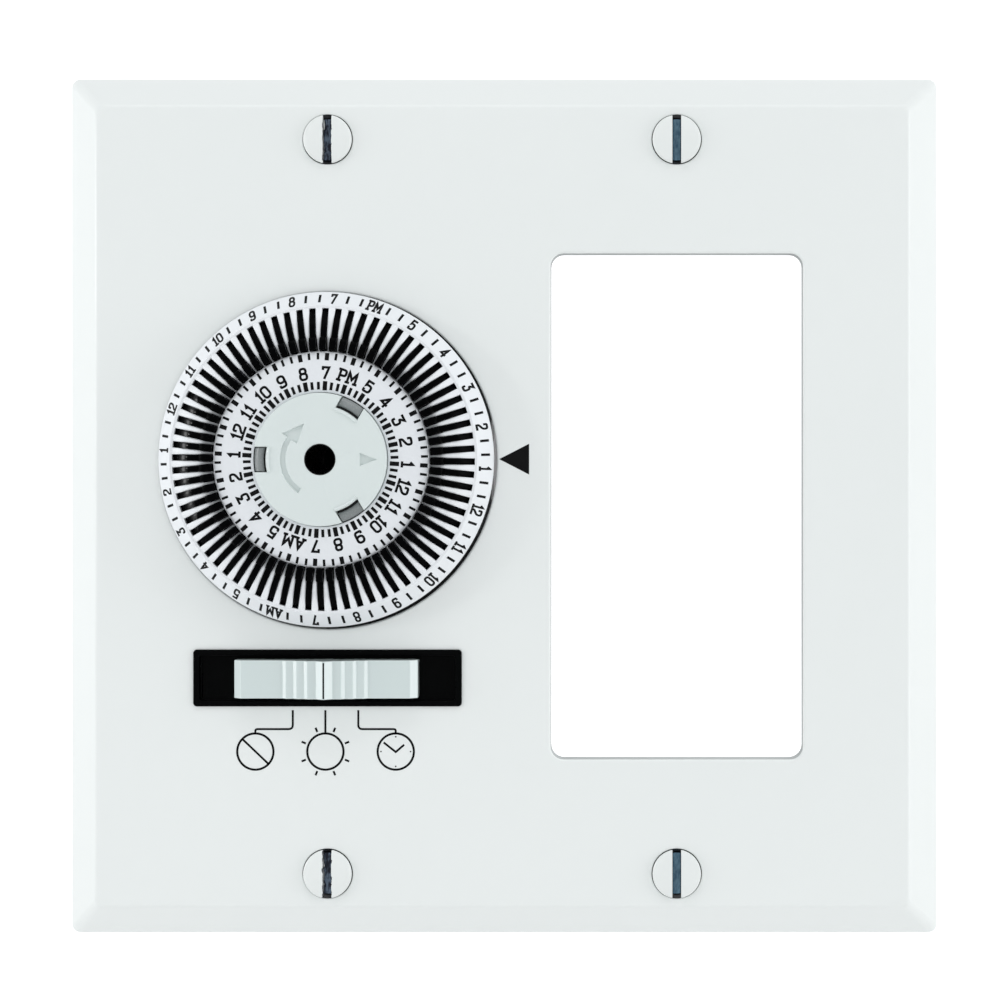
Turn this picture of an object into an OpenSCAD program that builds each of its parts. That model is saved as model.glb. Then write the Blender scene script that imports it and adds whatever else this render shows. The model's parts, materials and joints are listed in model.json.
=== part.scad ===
// In-wall 24 hour timer switch on a two-gang wall plate, all lengths in millimetres.
// X is right, Y goes into the wall and Z is up.
// The wall plane is y = 0, with the plate's centre at the origin.
// Each module is drawn in a front view, x right, y up and z out of the wall, and upright() turns it.

/* [Wall plate] */
// Width of the two-gang plate
plate_w = 115.9; // [104:0.1:130]
// Height of the plate
plate_h = 114.3; // [102:0.1:130]
// Height of the plate's front above the wall
plate_d = 5.6; // [5:0.1:6.6]
// Thickness of the plate's sheet
plate_t = 1.2; // [0.8:0.1:1.5]
// Width of the sloped edge, seen from the front
bevel_w = 4.3; // [2:0.1:5]
// Straight rim at the wall, under the sloped edge
rim_h = 0.8; // [0.4:0.1:1.5]
// Distance between the centres of the two gangs
gang_pitch = 46.04; // [42:0.02:50]
// Distance from the plate's top or bottom edge to a plate screw
screw_edge = 8.73; // [7.5:0.01:10]
// Width of the decorator opening in the right gang
opening_w = 33.3; // [28:0.1:38]
// Height of the decorator opening in the right gang
opening_h = 66.8; // [58:0.1:74]

/* [Dial] */
// Radius of the dial's lower edge
dial_r = 22; // [20:0.1:24]
// Height of the dial's centre above the plate's centre
dial_y = 6.2; // [5:0.1:7]
// Trippers to an hour
per_hour = 3; // [1:1:3]
// Distance that a tripper is pushed in
tripper_travel = 1.2; // [0.6:0.1:1.4]
// Thickness of a tripper
tripper_t = 0.74; // [0.6:0.02:0.78]
// Radius of the fixed hub cap in the dial's middle
hub_r = 8.73; // [8:0.01:9.5]
// Angle of the one o'clock mark in the afternoon, below the pointer
dial_set = -3.3; // [-15:0.1:15]

/* [Slide switch] */
// Height of the slide switch's centre, below the plate's centre
slide_y = -22.6; // [-25:0.1:-20]
// Length of the black bezel
bezel_w = 35.4; // [34:0.1:39]
// Height of the black bezel
bezel_h = 7.5; // [6.8:0.1:8.4]
// Length of the white knob
knob_w = 24.1; // [20:0.1:26]
// Height of the white knob
knob_h = 5; // [4.4:0.1:5.6]
// Travel from the middle position to each side
knob_travel = 4.33; // [3.5:0.01:4.8]

/* [Case and strap] */
// Width of the rear case
case_w = 43; // [40:0.1:46]
// Height of the rear case
case_h = 68; // [61:0.1:76]
// Depth of the rear case behind the wall plane
case_d = 31; // [28:0.1:38]
// Vertical distance between the two box screw holes
box_screw_pitch = 83.34; // [80:0.02:87]
// Radius of a box screw hole
box_hole_r = 2.2; // [1.8:0.05:2.6]
// Distance from the plate's top or bottom edge to the strap's end
strap_edge = 4.65; // [4:0.05:5.5]
// Thickness of the mounting strap
strap_t = 1.4; // [1:0.1:1.6]

/* [Drive] */
// Module of the gear teeth
gear_m = 0.4; // [0.36:0.01:0.44]
// Teeth of the gear behind the dial
dial_teeth = 80; // [80]
// Teeth of the reduction wheel's pinion
small_teeth = 10; // [10]
// Teeth of the reduction wheel
wheel_teeth = 30; // [30]
// Teeth of the motor's pinion
motor_teeth = 10; // [10]
// Radius of the motor's can
motor_r = 16.5; // [14:0.1:18]

/* [Hidden] */
$fn = 64;

// Clearances: running bores, sliding faces and faces that pass each other
run_gap = 0.05;
slide_gap = 0.055;
pass_gap = 0.3;
thread_gap = 0.02;
eps = 0.1;

gang_x = gang_pitch / 2;
left_x = -gang_x;
plate_screw_pitch = plate_h - 2 * screw_edge;
screw_y = plate_screw_pitch / 2;
box_y = box_screw_pitch / 2;
strap_h = plate_h - 2 * strap_edge;
strap_w = 24;
bolt_r = 1.75;
bolt_head_r = 3;
oval_head_r = 3.25;
oval_dome_r = 7.36;
oval_rise = 0.76;
oval_seat_h = 1.4;
oval_length = 9.6;
drive_slot_w = 1.06;
drive_slot_d = 0.4;
opening_corner = 1.7;
return_d = 3.6;
seat_gap = 0.2;
tripper_n = 24 * per_hour;
tripper_step = 360 / tripper_n;

// Levels of the dial, measured out of the wall
dial_back = plate_d + 0.6;
rim_top = dial_back + 1;
cone_top = rim_top + 2.7;
cone_r = dial_r - 2;
seat_z = cone_top + 0.5;
face_z = seat_z + 1.6;
web_z = seat_z - 1;
slot_in = 13.2;
slot_out = cone_r - 0.25;
head_in = 14.15;
head_out = 15.8;
face_r = head_in - 0.1;
face_in = hub_r + 0.15;
foot_z = dial_back + 0.8;
head_z = seat_z + 0.5;
slot_t = tripper_t + 2 * slide_gap;
post_r = 5;
boss_r = 12.6;
boss_back = -2;
gear_t = 2.4;
collar_r = hub_r - 0.33;
collar_z = web_z + pass_gap;
cap_z = collar_z + 1.5;
cap_top = cap_z + 2.2;
dial_hole_r = dial_r + 0.3;
hook_w = 3.1;
hook_in = 7.1;
hook_gap = 0.08;
cap_hole_r = 2;
cap_edge = 0.3;
mark_d = 0.2;

// Levels of the movement, behind the wall plane
cover_t = 2;
cover_z = strap_t + cover_t;
plate_front = -8.2;
plate_back = -10;
wheel_front = -5.4;
wheel_back = -7.4;
case_wall = 1.8;
case_back = -case_d;
case_in = case_back + case_wall;
pillar_x = case_w / 2 - 4.5;
pillar_y = case_h / 2 - 4.5;
screw_r = 1.25;

// Gear centres, measured from the gang's centre
dial_pitch_r = gear_m * dial_teeth / 2;
small_pitch_r = gear_m * small_teeth / 2;
wheel_pitch_r = gear_m * wheel_teeth / 2;
motor_pitch_r = gear_m * motor_teeth / 2;
wheel_dir = 60;
wheel_x = (dial_pitch_r + small_pitch_r) * cos(wheel_dir);
wheel_y = dial_y + (dial_pitch_r + small_pitch_r) * sin(wheel_dir);
motor_dir = 200;
out_x = wheel_x + (wheel_pitch_r + motor_pitch_r) * cos(motor_dir);
out_y = wheel_y + (wheel_pitch_r + motor_pitch_r) * sin(motor_dir);
out_offset = 9.6;
motor_y = out_y - out_offset;
motor_wall = 1;
can_front = plate_back - motor_wall;
can_back = case_in + 4.2;
coil_front = can_front - 2;
coil_in = 9.4;
rotor_r = 8.6;
rotor_gap = 0.5;
axle_r = 0.8;
out_axle_r = 0.9;
motor_screw_edge = 4;
motor_screw_drop = 12;
motor_screw_r = 1;
motor_head_r = 1.9;
motor_head_h = 1.4;
motor_ear_h = 6;

// Switch parts
dial_tip_r = dial_pitch_r + 0.8 * gear_m;
plunger_r = 1.2;
plunger_gap = 0.48;
plunger_y = dial_y - dial_tip_r - plunger_r - plunger_gap;
spring_y = plunger_y - 3;
contact_gap = 4.2;
contact_y = spring_y - contact_gap;
contact_r = 1.6;
plunger_tip = foot_z - tripper_travel - pass_gap;
arm_front = -5.6;
arm_back = -6.4;
arm_y = -case_h / 2 + 6;
arm_z = -6;
arm_w = 5;
arm_pin_r = 0.9;
base_top = -12;
base_back = case_in + 3.2;
base_w = 26;
base_h = 18;
base_edge = 2.4;

// Terminals on the case's back, the barriers between them and the ground screw
terminal_pitch = 12;
terminal_edge = 9;
terminal_w = 8.4;
terminal_h = 10;
terminal_t = 1;
terminal_low = 4;
tab_w = 5;
tab_t = 1.2;
tab_y = 4.7;
tab_l = 2.8;
barrier_t = 1.2;
barrier_h = 12;
barrier_d = 4;
barrier_edge = 4;
ground_x = 8.5;
ground_y = case_h / 2 + 4.6;

// Knob and carriage
bezel_top = plate_d + 0.35;
bezel_floor = plate_d - 0.6;
knob_low = bezel_floor + pass_gap;
knob_flat = plate_d + 2.4;
knob_end = 1;
knob_drop = 1.5;
knob_crest = plate_d + 4.6;
stem_w = 3.6;
stem_h = 2;
stem_slot = stem_w + 2 * knob_travel + 2 * pass_gap;
carriage_top = strap_t - pass_gap;
carriage_back = carriage_top - 1.8;
carriage_w = 19.2;
carriage_low = 3.2;
carriage_h = 7.5;
carriage_edge = slide_y + carriage_h - carriage_low;
carriage_gap = 0.2;
detent_half = 9;
detent_t = 0.4;
detent_nose = 0.9;
detent_nose_w = 1.2;
tab_post_w = 1.8;
step_first = 5.6;
step_w = 1.47;
step_count = 4;
step_lean = 0.35;
step_dip = 0.12;

// Involute in degrees, and half a tooth's angle at a radius
function inv(a) = tan(a) * 180 / PI - a;
function tooth_half(n, r) =
  let (rp = gear_m * n / 2, rb = rp * cos(20))
  (90 / n) * 0.84 + inv(20) - inv(acos(rb / max(r, rb)));
function polar(r, a) = [r * cos(a), r * sin(a)];
function gear_points(n) =
  let (rp = gear_m * n / 2, rf = rp - 1.15 * gear_m, ra = rp + 0.8 * gear_m)
  [for (i = [0:n - 1]) for (s = [[rf, -1], [rp, -1], [ra, -1], [ra, 1], [rp, 1], [rf, 1]])
    polar(s[0], i * 360 / n + s[1] * tooth_half(n, s[0]))];

module upright() {
  rotate([90, 0, 0]) children();
}

module left_gang() {
  upright() translate([left_x, 0, 0]) children();
}

module at_dial() {
  left_gang() translate([0, dial_y, 0]) children();
}

module at_slide() {
  left_gang() translate([0, slide_y, 0]) children();
}

// A prism or a cylinder between two levels
module level(z0, z1) {
  translate([0, 0, z0]) linear_extrude(height = z1 - z0) children();
}

module rod(r, z0, z1) {
  translate([0, 0, z0]) cylinder(r = r, h = z1 - z0);
}

module cone(r0, r1, z0, z1) {
  translate([0, 0, z0]) cylinder(r1 = r0, r2 = r1, h = z1 - z0);
}

module round_rect(w, h, r) {
  square([w - 2 * r, h], center = true);
  square([w, h - 2 * r], center = true);
  for (x = [-1, 1], y = [-1, 1])
    translate([x * (w / 2 - r), y * (h / 2 - r)]) circle(r = r);
}

module gear(n, z0, z1, turn) {
  rotate(turn) level(z0, z1) polygon(gear_points(n));
}

module at_pillars() {
  for (x = [-1, 1], y = [-1, 1])
    translate([x * pillar_x, y * pillar_y, 0]) children();
}

// A block with four sloped edges, from the wall plane out
module sloped_block(w, h, d, low, slope) {
  span = max(w, h) + 2;
  intersection() {
    rotate([90, 0, 0]) translate([0, 0, -span / 2]) linear_extrude(height = span)
      polygon([[-w / 2, low], [w / 2, low], [w / 2, rim_h], [w / 2 - slope, d],
        [-w / 2 + slope, d], [-w / 2, rim_h]]);
    rotate([90, 0, 90]) translate([0, 0, -span / 2]) linear_extrude(height = span)
      polygon([[-h / 2, low], [h / 2, low], [h / 2, rim_h], [h / 2 - slope, d],
        [-h / 2 + slope, d], [-h / 2, rim_h]]);
    level(low, d) round_rect(w, h, 1.2);
  }
}

// The plate is hollow behind, and its decorator opening has a wall turned inwards
module wall_plate() {
  color("whitesmoke") upright() difference() {
    union() {
      difference() {
        sloped_block(plate_w, plate_h, plate_d, 0, bevel_w);
        sloped_block(plate_w - 2 * plate_t, plate_h - 2 * plate_t, plate_d - plate_t, -1, bevel_w);
      }
      translate([gang_x, 0, 0]) level(plate_d - return_d, plate_d - eps)
        round_rect(opening_w + 2 * plate_t, opening_h + 2 * plate_t, opening_corner + plate_t);
    }
    for (x = [-1, 1], y = [-1, 1])
      translate([x * gang_x, y * screw_y, 0])
        cone(bolt_r + seat_gap, oval_head_r + seat_gap, plate_d - oval_seat_h - 0.1, plate_d + 0.01);
    translate([gang_x, 0, 0]) level(0, plate_d + 1) round_rect(opening_w, opening_h, opening_corner);
    translate([left_x, dial_y, 0]) rod(dial_hole_r, 0, plate_d + 1);
    translate([left_x, slide_y, 0]) level(0, plate_d + 1) round_rect(bezel_w - 0.8, bezel_h - 0.8, 0.4);
  }
}

// One slotted oval-head screw, its seat level with the plate's front
module oval_screw() {
  difference() {
    union() {
      rod(bolt_r, plate_d - oval_length, plate_d - oval_seat_h + eps);
      cone(bolt_r, oval_head_r, plate_d - oval_seat_h, plate_d);
      intersection() {
        rod(oval_head_r, plate_d, plate_d + 2 * oval_rise);
        translate([0, 0, plate_d + oval_rise - oval_dome_r]) sphere(r = oval_dome_r);
      }
    }
    translate([-drive_slot_w / 2, -oval_head_r - 1, plate_d - drive_slot_d])
      cube([drive_slot_w, 2 * oval_head_r + 2, oval_rise + 1]);
  }
}

module plate_screws() {
  color("white") upright() for (x = [-1, 1], y = [-1, 1])
    translate([x * gang_x, y * screw_y, 0]) oval_screw();
}

module slide_bezel() {
  color("black") at_slide() difference() {
    union() {
      level(plate_d, bezel_top) round_rect(bezel_w, bezel_h, 0.5);
      level(cover_z, plate_d + 0.05) round_rect(bezel_w - 1, bezel_h - 1, 0.4);
    }
    level(bezel_floor, bezel_top + 1) round_rect(knob_w + 2 * knob_travel + 1, bezel_h - 1.6, 0.4);
    level(0, bezel_top + 1) square([stem_slot, stem_h + 2 * pass_gap], center = true);
  }
}

// Half of the knob's stepped ridge, from the flat end up to the crest
module knob_side() {
  rise = (knob_crest - knob_flat) / step_count;
  steps = [for (i = [0:step_count - 1]) let (x = step_first - i * step_w, z = knob_flat + rise * i)
    each [[x, z], [x - step_lean, z + rise - step_dip]]];
  polygon(concat([[0, knob_low], [knob_w / 2, knob_low], [knob_w / 2, knob_flat - knob_drop],
    [knob_w / 2 - knob_end, knob_flat]], steps, [[0, knob_crest]]));
}

module slide_knob() {
  color("white") at_slide() {
    rotate([90, 0, 0]) translate([0, 0, -knob_h / 2]) linear_extrude(height = knob_h) {
      knob_side();
      mirror([1, 0]) knob_side();
    }
    level(carriage_top, knob_low + eps) square([stem_w, stem_h], center = true);
  }
}

module slide_carriage() {
  color("dimgray") at_slide() difference() {
    union() {
      level(carriage_back, carriage_top)
        translate([-carriage_w / 2, -carriage_low]) square([carriage_w, carriage_h]);
      level(carriage_back - 1.6, carriage_back + eps) translate([-3, -2]) square([6, 2]);
    }
    for (i = [-1:1])
      level(carriage_back - 1, carriage_top + 1) translate([i * knob_travel, carriage_h - carriage_low + 0.2])
        rotate(45) square(1.7, center = true);
  }
}

module detent_spring() {
  color("silver") left_gang() level(carriage_back + 0.2, strap_t) translate([0, carriage_edge + 0.5])
    polygon([[-detent_half, 0], [-detent_nose_w, 0], [-0.3, -detent_nose], [0.3, -detent_nose], [detent_nose_w, 0],
      [detent_half, 0], [detent_half, detent_t], [-detent_half, detent_t]]);
}

module dial_carrier() {
  color("whitesmoke") at_dial() difference() {
    rotate_extrude($fn = 128) polygon([[post_r + run_gap, boss_back], [boss_r, boss_back],
      [boss_r, dial_back], [dial_r, dial_back], [dial_r, rim_top], [cone_r, cone_top], [17, cone_top],
      [face_r, cone_top - 0.8], [face_r, seat_z], [face_in, seat_z], [face_in, web_z],
      [post_r + run_gap, web_z]]);
    for (i = [0:tripper_n - 1])
      rotate(dial_set + (i + 0.5) * tripper_step)
        translate([slot_in, -slot_t / 2, dial_back - 1]) cube([slot_out - slot_in, slot_t, 6]);
  }
}

module dial_face_ring() {
  color("whitesmoke") at_dial() rotate_extrude($fn = 128)
    polygon([[face_in, seat_z], [face_r, seat_z], [face_r, face_z], [face_in, face_z + 0.5]]);
}

module dial_gear() {
  color("ivory") at_dial() difference() {
    gear(dial_teeth, boss_back - gear_t, boss_back, wheel_dir);
    rod(post_r + 0.4, boss_back - 5, boss_back + 1);
  }
}

module dial_spring() {
  color("silver") at_dial() rotate_extrude() polygon([[post_r + 0.2, plate_front],
    [post_r + 0.9, plate_front], [8.6, boss_back - gear_t - pass_gap], [8, boss_back - gear_t - pass_gap]]);
}

module hub_post() {
  color("gray") at_dial() difference() {
    union() {
      rod(post_r, plate_front, collar_z + eps);
      rod(collar_r, collar_z, cap_z);
      for (a = [60, 180, 300])
        rotate([90, 0, a]) translate([0, 0, -hook_w / 2]) linear_extrude(height = hook_w)
          polygon([[hook_in, cap_z - eps], [collar_r, cap_z - eps], [collar_r, cap_z + 0.7],
            [hook_in, cap_z + 1.5]]);
    }
    rod(cap_hole_r, plate_front + 3, cap_z + 3);
    rod(screw_r + run_gap, plate_front - 1, cap_z);
  }
}

module hub_cap() {
  color("gainsboro") at_dial() difference() {
    union() {
      rod(hub_r, cap_z, cap_top - cap_edge);
      cone(hub_r, hub_r - cap_edge, cap_top - cap_edge, cap_top);
    }
    rod(cap_hole_r, cap_z - 1, cap_top + 1);
    for (a = [60, 180, 300])
      rotate(a) translate([hook_in - 0.1, -hook_w / 2 - hook_gap, cap_z - 1])
        cube([hub_r, hook_w + 2 * hook_gap, 5]);
    // The curved arrow and the time pointer are sunk in the cap
    level(cap_top - mark_d, cap_top + 1) difference() {
      circle(r = 5.15);
      circle(r = 4.45);
      polygon([[0, 0], polar(9, 237), polar(9, 300), polar(9, 360), polar(9, 60), polar(9, 142)]);
    }
    level(cap_top - mark_d, cap_top + 1) polygon([polar(3.7, 144), polar(5.0, 116), polar(5.7, 144)]);
    level(cap_top - mark_d, cap_top + 1) polygon([[5.15, -0.8], [7.3, 0], [5.15, 0.8]]);
  }
}

module hub_screw() {
  color("silver") at_dial() difference() {
    union() {
      rod(1.8, plate_front + 3, plate_front + 4.6);
      rod(screw_r, plate_back + eps, plate_front + 3 + eps);
    }
    translate([-2, -0.25, plate_front + 4]) cube([4, 0.5, 2]);
  }
}

module tripper(i) {
  run = slot_out - 0.15 - head_out;
  color("black") at_dial() rotate(dial_set + (i + 0.5) * tripper_step) {
    rotate([90, 0, 0]) translate([0, 0, -tripper_t / 2]) linear_extrude(height = tripper_t)
      polygon([[slot_in + 0.15, foot_z], [slot_out - 0.15, foot_z], [slot_out - 0.15, cone_top - 0.5],
        [head_out + 0.9 * run, cone_top], [head_out + 0.72 * run, cone_top + 0.5],
        [head_out + 0.4 * run, cone_top + 1.05], [head_out, head_z + 0.4],
        [head_in + 0.05, head_z + 0.4], [head_in + 0.05, seat_z - 0.2],
        [slot_in + 0.15, seat_z - 0.2]]);
    rotate([90, 0, 0]) translate([0, 0, -0.5]) linear_extrude(height = 1)
      polygon([[head_in, head_z], [head_out, head_z], [head_out, face_z - 0.2], [head_out - 0.5, face_z + 0.1],
        [head_in, face_z + 0.1]]);
  }
}

// The trippers of one hour, counted from midnight
module tripper_hour(hour) {
  first = per_hour * (hour - 13);
  for (i = [first:first + per_hour - 1]) tripper(i);
}

module mounting_strap() {
  color("silver") left_gang() difference() {
    level(0, strap_t) {
      round_rect(case_w - 2, case_h + 2, 2);
      round_rect(strap_w, strap_h, 3);
    }
    level(-1, strap_t + 1) round_rect(case_w - 7, case_h - 16, 2);
    level(-1, strap_t + 1) translate([0, slide_y + (carriage_h - 2 * carriage_low) / 2])
      square([carriage_w + 2 * knob_travel + 2 * pass_gap, carriage_h + 2 * carriage_gap], center = true);
    for (y = [-1, 1]) {
      translate([0, y * screw_y, 0]) rod(bolt_r + thread_gap, -1, strap_t + 1);
      translate([0, y * box_y, 0]) rod(box_hole_r, -1, strap_t + 1);
    }
    at_pillars() rod(screw_r + 0.1, -1, strap_t + 1);
    translate([ground_x, ground_y, 0]) rod(bolt_r + thread_gap, -1, strap_t + 1);
  }
}

module ground_screw() {
  color("green") left_gang() translate([ground_x, ground_y, 0]) difference() {
    union() {
      rod(bolt_head_r, -2.2, 0);
      rod(bolt_r, -eps, strap_t + 0.8);
    }
    translate([-4, -0.5, -3]) cube([8, 1, 1.6]);
  }
}

module front_cover() {
  color("dimgray") left_gang() {
    difference() {
      union() {
        level(strap_t, cover_z) round_rect(case_w, case_h, 2);
        translate([0, plunger_y, 0]) rod(plunger_r + 1.2, -1, cover_z);
        for (x = [-1, 1])
          level(carriage_back + 0.2, strap_t + eps) translate([x * (detent_half + 0.3), carriage_edge + 1.2])
            square([tab_post_w, 2], center = true);
      }
      translate([0, dial_y, 0]) rod(boss_r + 0.8, -2, cover_z + 1);
      translate([0, plunger_y, 0]) rod(plunger_r + run_gap, -2, cover_z + 1);
      translate([0, slide_y, 0]) level(0, cover_z + 1)
        square([stem_slot, stem_h + 2 * pass_gap], center = true);
      translate([-detent_half - 0.1, carriage_edge + 0.45, -1])
        cube([2 * detent_half + 0.2, detent_t + 0.1, strap_t + 1]);
      at_pillars() rod(screw_r + 0.1, 0, cover_z + 1);
      at_pillars() rod(2.4, cover_z - 1.2, cover_z + 1);
    }
  }
}

module rear_case() {
  color("black") left_gang() difference() {
    union() {
      difference() {
        level(case_back, 0) round_rect(case_w, case_h, 2);
        level(case_in, 1) round_rect(case_w - 2 * case_wall, case_h - 2 * case_wall, 1);
      }
      at_pillars() rod(2.6, case_in - eps, plate_back);
      for (x = [-9, 7.4])
        translate([x, -case_h / 2 + 4, case_in - eps]) cube([1.6, 14, base_back - case_in + eps]);
      for (i = [-1.5:1.5])
        translate([i * terminal_pitch - barrier_t / 2, -case_h / 2 + barrier_edge, case_back - barrier_d])
          cube([barrier_t, barrier_h, barrier_d + eps]);
    }
    at_pillars() rod(screw_r + thread_gap, case_in + 4, plate_back + 1);
    at_terminals() rod(bolt_r + thread_gap, case_back - 1, case_in + 1);
    at_terminals() translate([-tab_w / 2 - eps, tab_y - eps, case_back - 1])
      cube([tab_w + 2 * eps, tab_t + 2 * eps, case_wall + tab_l]);
  }
}

module at_terminals() {
  for (i = [-1:1]) translate([i * terminal_pitch, -case_h / 2 + terminal_edge, 0]) children();
}

module terminal_plates() {
  color("goldenrod") left_gang() at_terminals() difference() {
    union() {
      translate([-terminal_w / 2, -terminal_low, case_back - terminal_t])
        cube([terminal_w, terminal_h, terminal_t]);
      translate([-tab_w / 2, tab_y, case_back - eps]) cube([tab_w, tab_t, case_wall + tab_l]);
    }
    rod(bolt_r + thread_gap, case_back - 2, case_back + 1);
  }
}

module terminal_screws() {
  color("silver") left_gang() at_terminals() difference() {
    union() {
      rod(bolt_head_r, case_back - terminal_t - 2.2, case_back - terminal_t);
      rod(bolt_r, case_back - terminal_t - eps, case_in);
    }
    translate([-4, -0.5, case_back - 4]) cube([8, 1, 1.8]);
  }
}

module case_screws() {
  color("silver") left_gang() at_pillars() difference() {
    union() {
      rod(2.2, cover_z - 1.2, cover_z);
      rod(screw_r, case_in + 5, cover_z - 1);
    }
    translate([-3, -0.3, cover_z - 0.6]) cube([6, 0.6, 2]);
  }
}

module pillar_spacers() {
  color("silver") left_gang() at_pillars() difference() {
    rod(2.4, plate_front, 0);
    rod(screw_r + 0.1, plate_front - 1, 1);
  }
}

module movement_plate() {
  color("silver") left_gang() difference() {
    level(plate_back, plate_front) round_rect(case_w - 4.2, case_h - 4.2, 1);
    level(plate_back - 1, plate_front + 1) translate([-14.5, -case_h / 2]) square([29, case_h / 2 - 13]);
    at_pillars() rod(screw_r + 0.1, plate_back - 1, plate_front + 1);
    translate([0, dial_y, 0]) rod(screw_r + thread_gap, plate_back - 1, plate_front + 1);
    translate([wheel_x, wheel_y, 0]) rod(axle_r + thread_gap, plate_back - 1, plate_front + 1);
    translate([out_x, out_y, 0]) rod(2, plate_back - 1, plate_front + 1);
    at_motor_screws() rod(motor_screw_r + thread_gap, plate_back - 1, plate_front + 1);
  }
}

module at_motor() {
  left_gang() translate([0, motor_y, 0]) children();
}

module at_motor_screws() {
  for (x = [-1, 1]) translate([x * (case_w / 2 - motor_screw_edge), motor_y - motor_screw_drop, 0]) children();
}

module motor_cover() {
  color("lightgray") left_gang() difference() {
    union() {
      translate([0, motor_y, 0]) rod(motor_r, can_front, plate_back);
      level(can_front, plate_back) translate([0, motor_y - motor_screw_drop])
        square([case_w - 4.4, motor_ear_h], center = true);
    }
    translate([out_x, out_y, 0]) rod(out_axle_r + run_gap, can_front - 1, plate_back + 1);
    translate([0, motor_y, 0]) rod(axle_r + run_gap, can_front - 1, plate_back + 1);
    at_motor_screws() rod(motor_screw_r + eps, can_front - 1, plate_back + 1);
  }
}

module motor_screws() {
  color("silver") left_gang() at_motor_screws() {
    rod(motor_head_r, can_front - motor_head_h, can_front);
    rod(motor_screw_r, can_front - eps, plate_front);
  }
}

module motor_can() {
  color("lightgray") at_motor() difference() {
    rod(motor_r, can_back, can_front);
    rod(motor_r - motor_wall, can_back + motor_wall, can_front + 1);
    rod(axle_r + run_gap, can_back - 1, can_back + 2);
  }
}

module motor_coil() {
  color("chocolate") at_motor() difference() {
    rod(motor_r - motor_wall - 0.2, can_back + motor_wall, coil_front);
    rod(coil_in, can_back, coil_front + 1);
  }
}

module motor_rotor() {
  color("darkslategray") at_motor() {
    rod(rotor_r, can_back + motor_wall + 1, coil_front - rotor_gap);
    rod(axle_r, can_back + 0.2, plate_back - 0.2);
  }
}

module motor_pinion() {
  color("goldenrod") left_gang() translate([out_x, out_y, 0]) {
    gear(motor_teeth, wheel_back, wheel_front, motor_dir + 180 + 180 / motor_teeth);
    rod(out_axle_r, coil_front + 0.4, wheel_back + eps);
  }
}

module reduction_wheel() {
  color("ivory") left_gang() translate([wheel_x, wheel_y, 0]) difference() {
    union() {
      gear(wheel_teeth, wheel_back, wheel_front, motor_dir);
      gear(small_teeth, wheel_front - eps, boss_back + 0.2, wheel_dir + 180 + 180 / small_teeth);
    }
    rod(axle_r + run_gap, wheel_back - 1, boss_back + 1);
  }
}

module wheel_arbor() {
  color("silver") left_gang() translate([wheel_x, wheel_y, 0]) {
    rod(axle_r, plate_back, boss_back + 0.8);
    rod(2.4, plate_front, wheel_back - pass_gap);
  }
}

module contact_plunger() {
  color("white") left_gang() translate([0, plunger_y, 0]) {
    rod(plunger_r, arm_front + eps, plunger_tip - 0.4);
    cone(plunger_r, plunger_r - 0.5, plunger_tip - 0.4, plunger_tip);
  }
}

module contact_arm() {
  color("goldenrod") left_gang() difference() {
    union() {
      level(arm_back, arm_front) translate([-arm_w / 2, arm_y])
        square([arm_w, plunger_y + plunger_r + 0.2 - arm_y]);
      translate([-arm_w / 2 - 0.2, arm_y, arm_z]) rotate([0, 90, 0])
        cylinder(r = 2 * arm_pin_r, h = arm_w + 0.4);
      translate([0, contact_y, 0]) rod(contact_r - 0.2, arm_back - 0.5, arm_back + eps);
    }
    translate([-arm_w, arm_y, arm_z]) rotate([0, 90, 0]) cylinder(r = arm_pin_r + run_gap, h = 2 * arm_w);
  }
}

module arm_pin() {
  color("silver") left_gang() translate([-arm_w / 2 - 3.1, arm_y, arm_z])
    rotate([0, 90, 0]) cylinder(r = arm_pin_r, h = arm_w + 6.2);
}

module fixed_contact() {
  color("goldenrod") left_gang() translate([0, contact_y, 0]) {
    level(base_top, base_top + 1) translate([-2, -2]) square([11, 4]);
    rod(contact_r, base_top, arm_back - 1.15);
  }
}

module switch_base() {
  color("saddlebrown") left_gang() difference() {
    union() {
      level(base_back, base_top) translate([-base_w / 2, -case_h / 2 + base_edge]) square([base_w, base_h]);
      for (x = [-arm_w / 2 - 3.1, arm_w / 2 + 0.5])
        level(base_top - eps, arm_z + 2) translate([x, arm_y - 2 * arm_pin_r]) square([2.6, 4 * arm_pin_r]);
    }
    translate([-base_w / 2, arm_y, arm_z]) rotate([0, 90, 0]) cylinder(r = arm_pin_r + thread_gap, h = base_w);
  }
}

module return_spring() {
  turns = 5;
  sides = 12;
  wire = 0.3;
  coil_r = 1.6;
  low = base_top + wire;
  rise = arm_back - wire - low - 0.05;
  rings = turns * sides;
  points = [for (i = [0:rings]) for (k = [0:5]) let (a = i * 360 / sides, r = coil_r + wire * cos(k * 60))
    [r * cos(a), r * sin(a), low + rise * i / rings + wire * sin(k * 60)]];
  walls = [for (i = [0:rings - 1]) for (k = [0:5])
    [i * 6 + k, (i + 1) * 6 + k, (i + 1) * 6 + (k + 1) % 6, i * 6 + (k + 1) % 6]];
  ends = [[for (k = [0:5]) k], [for (k = [0:5]) rings * 6 + 5 - k]];
  color("silver") left_gang() translate([0, spring_y, 0]) polyhedron(points, concat(walls, ends));
}

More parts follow.
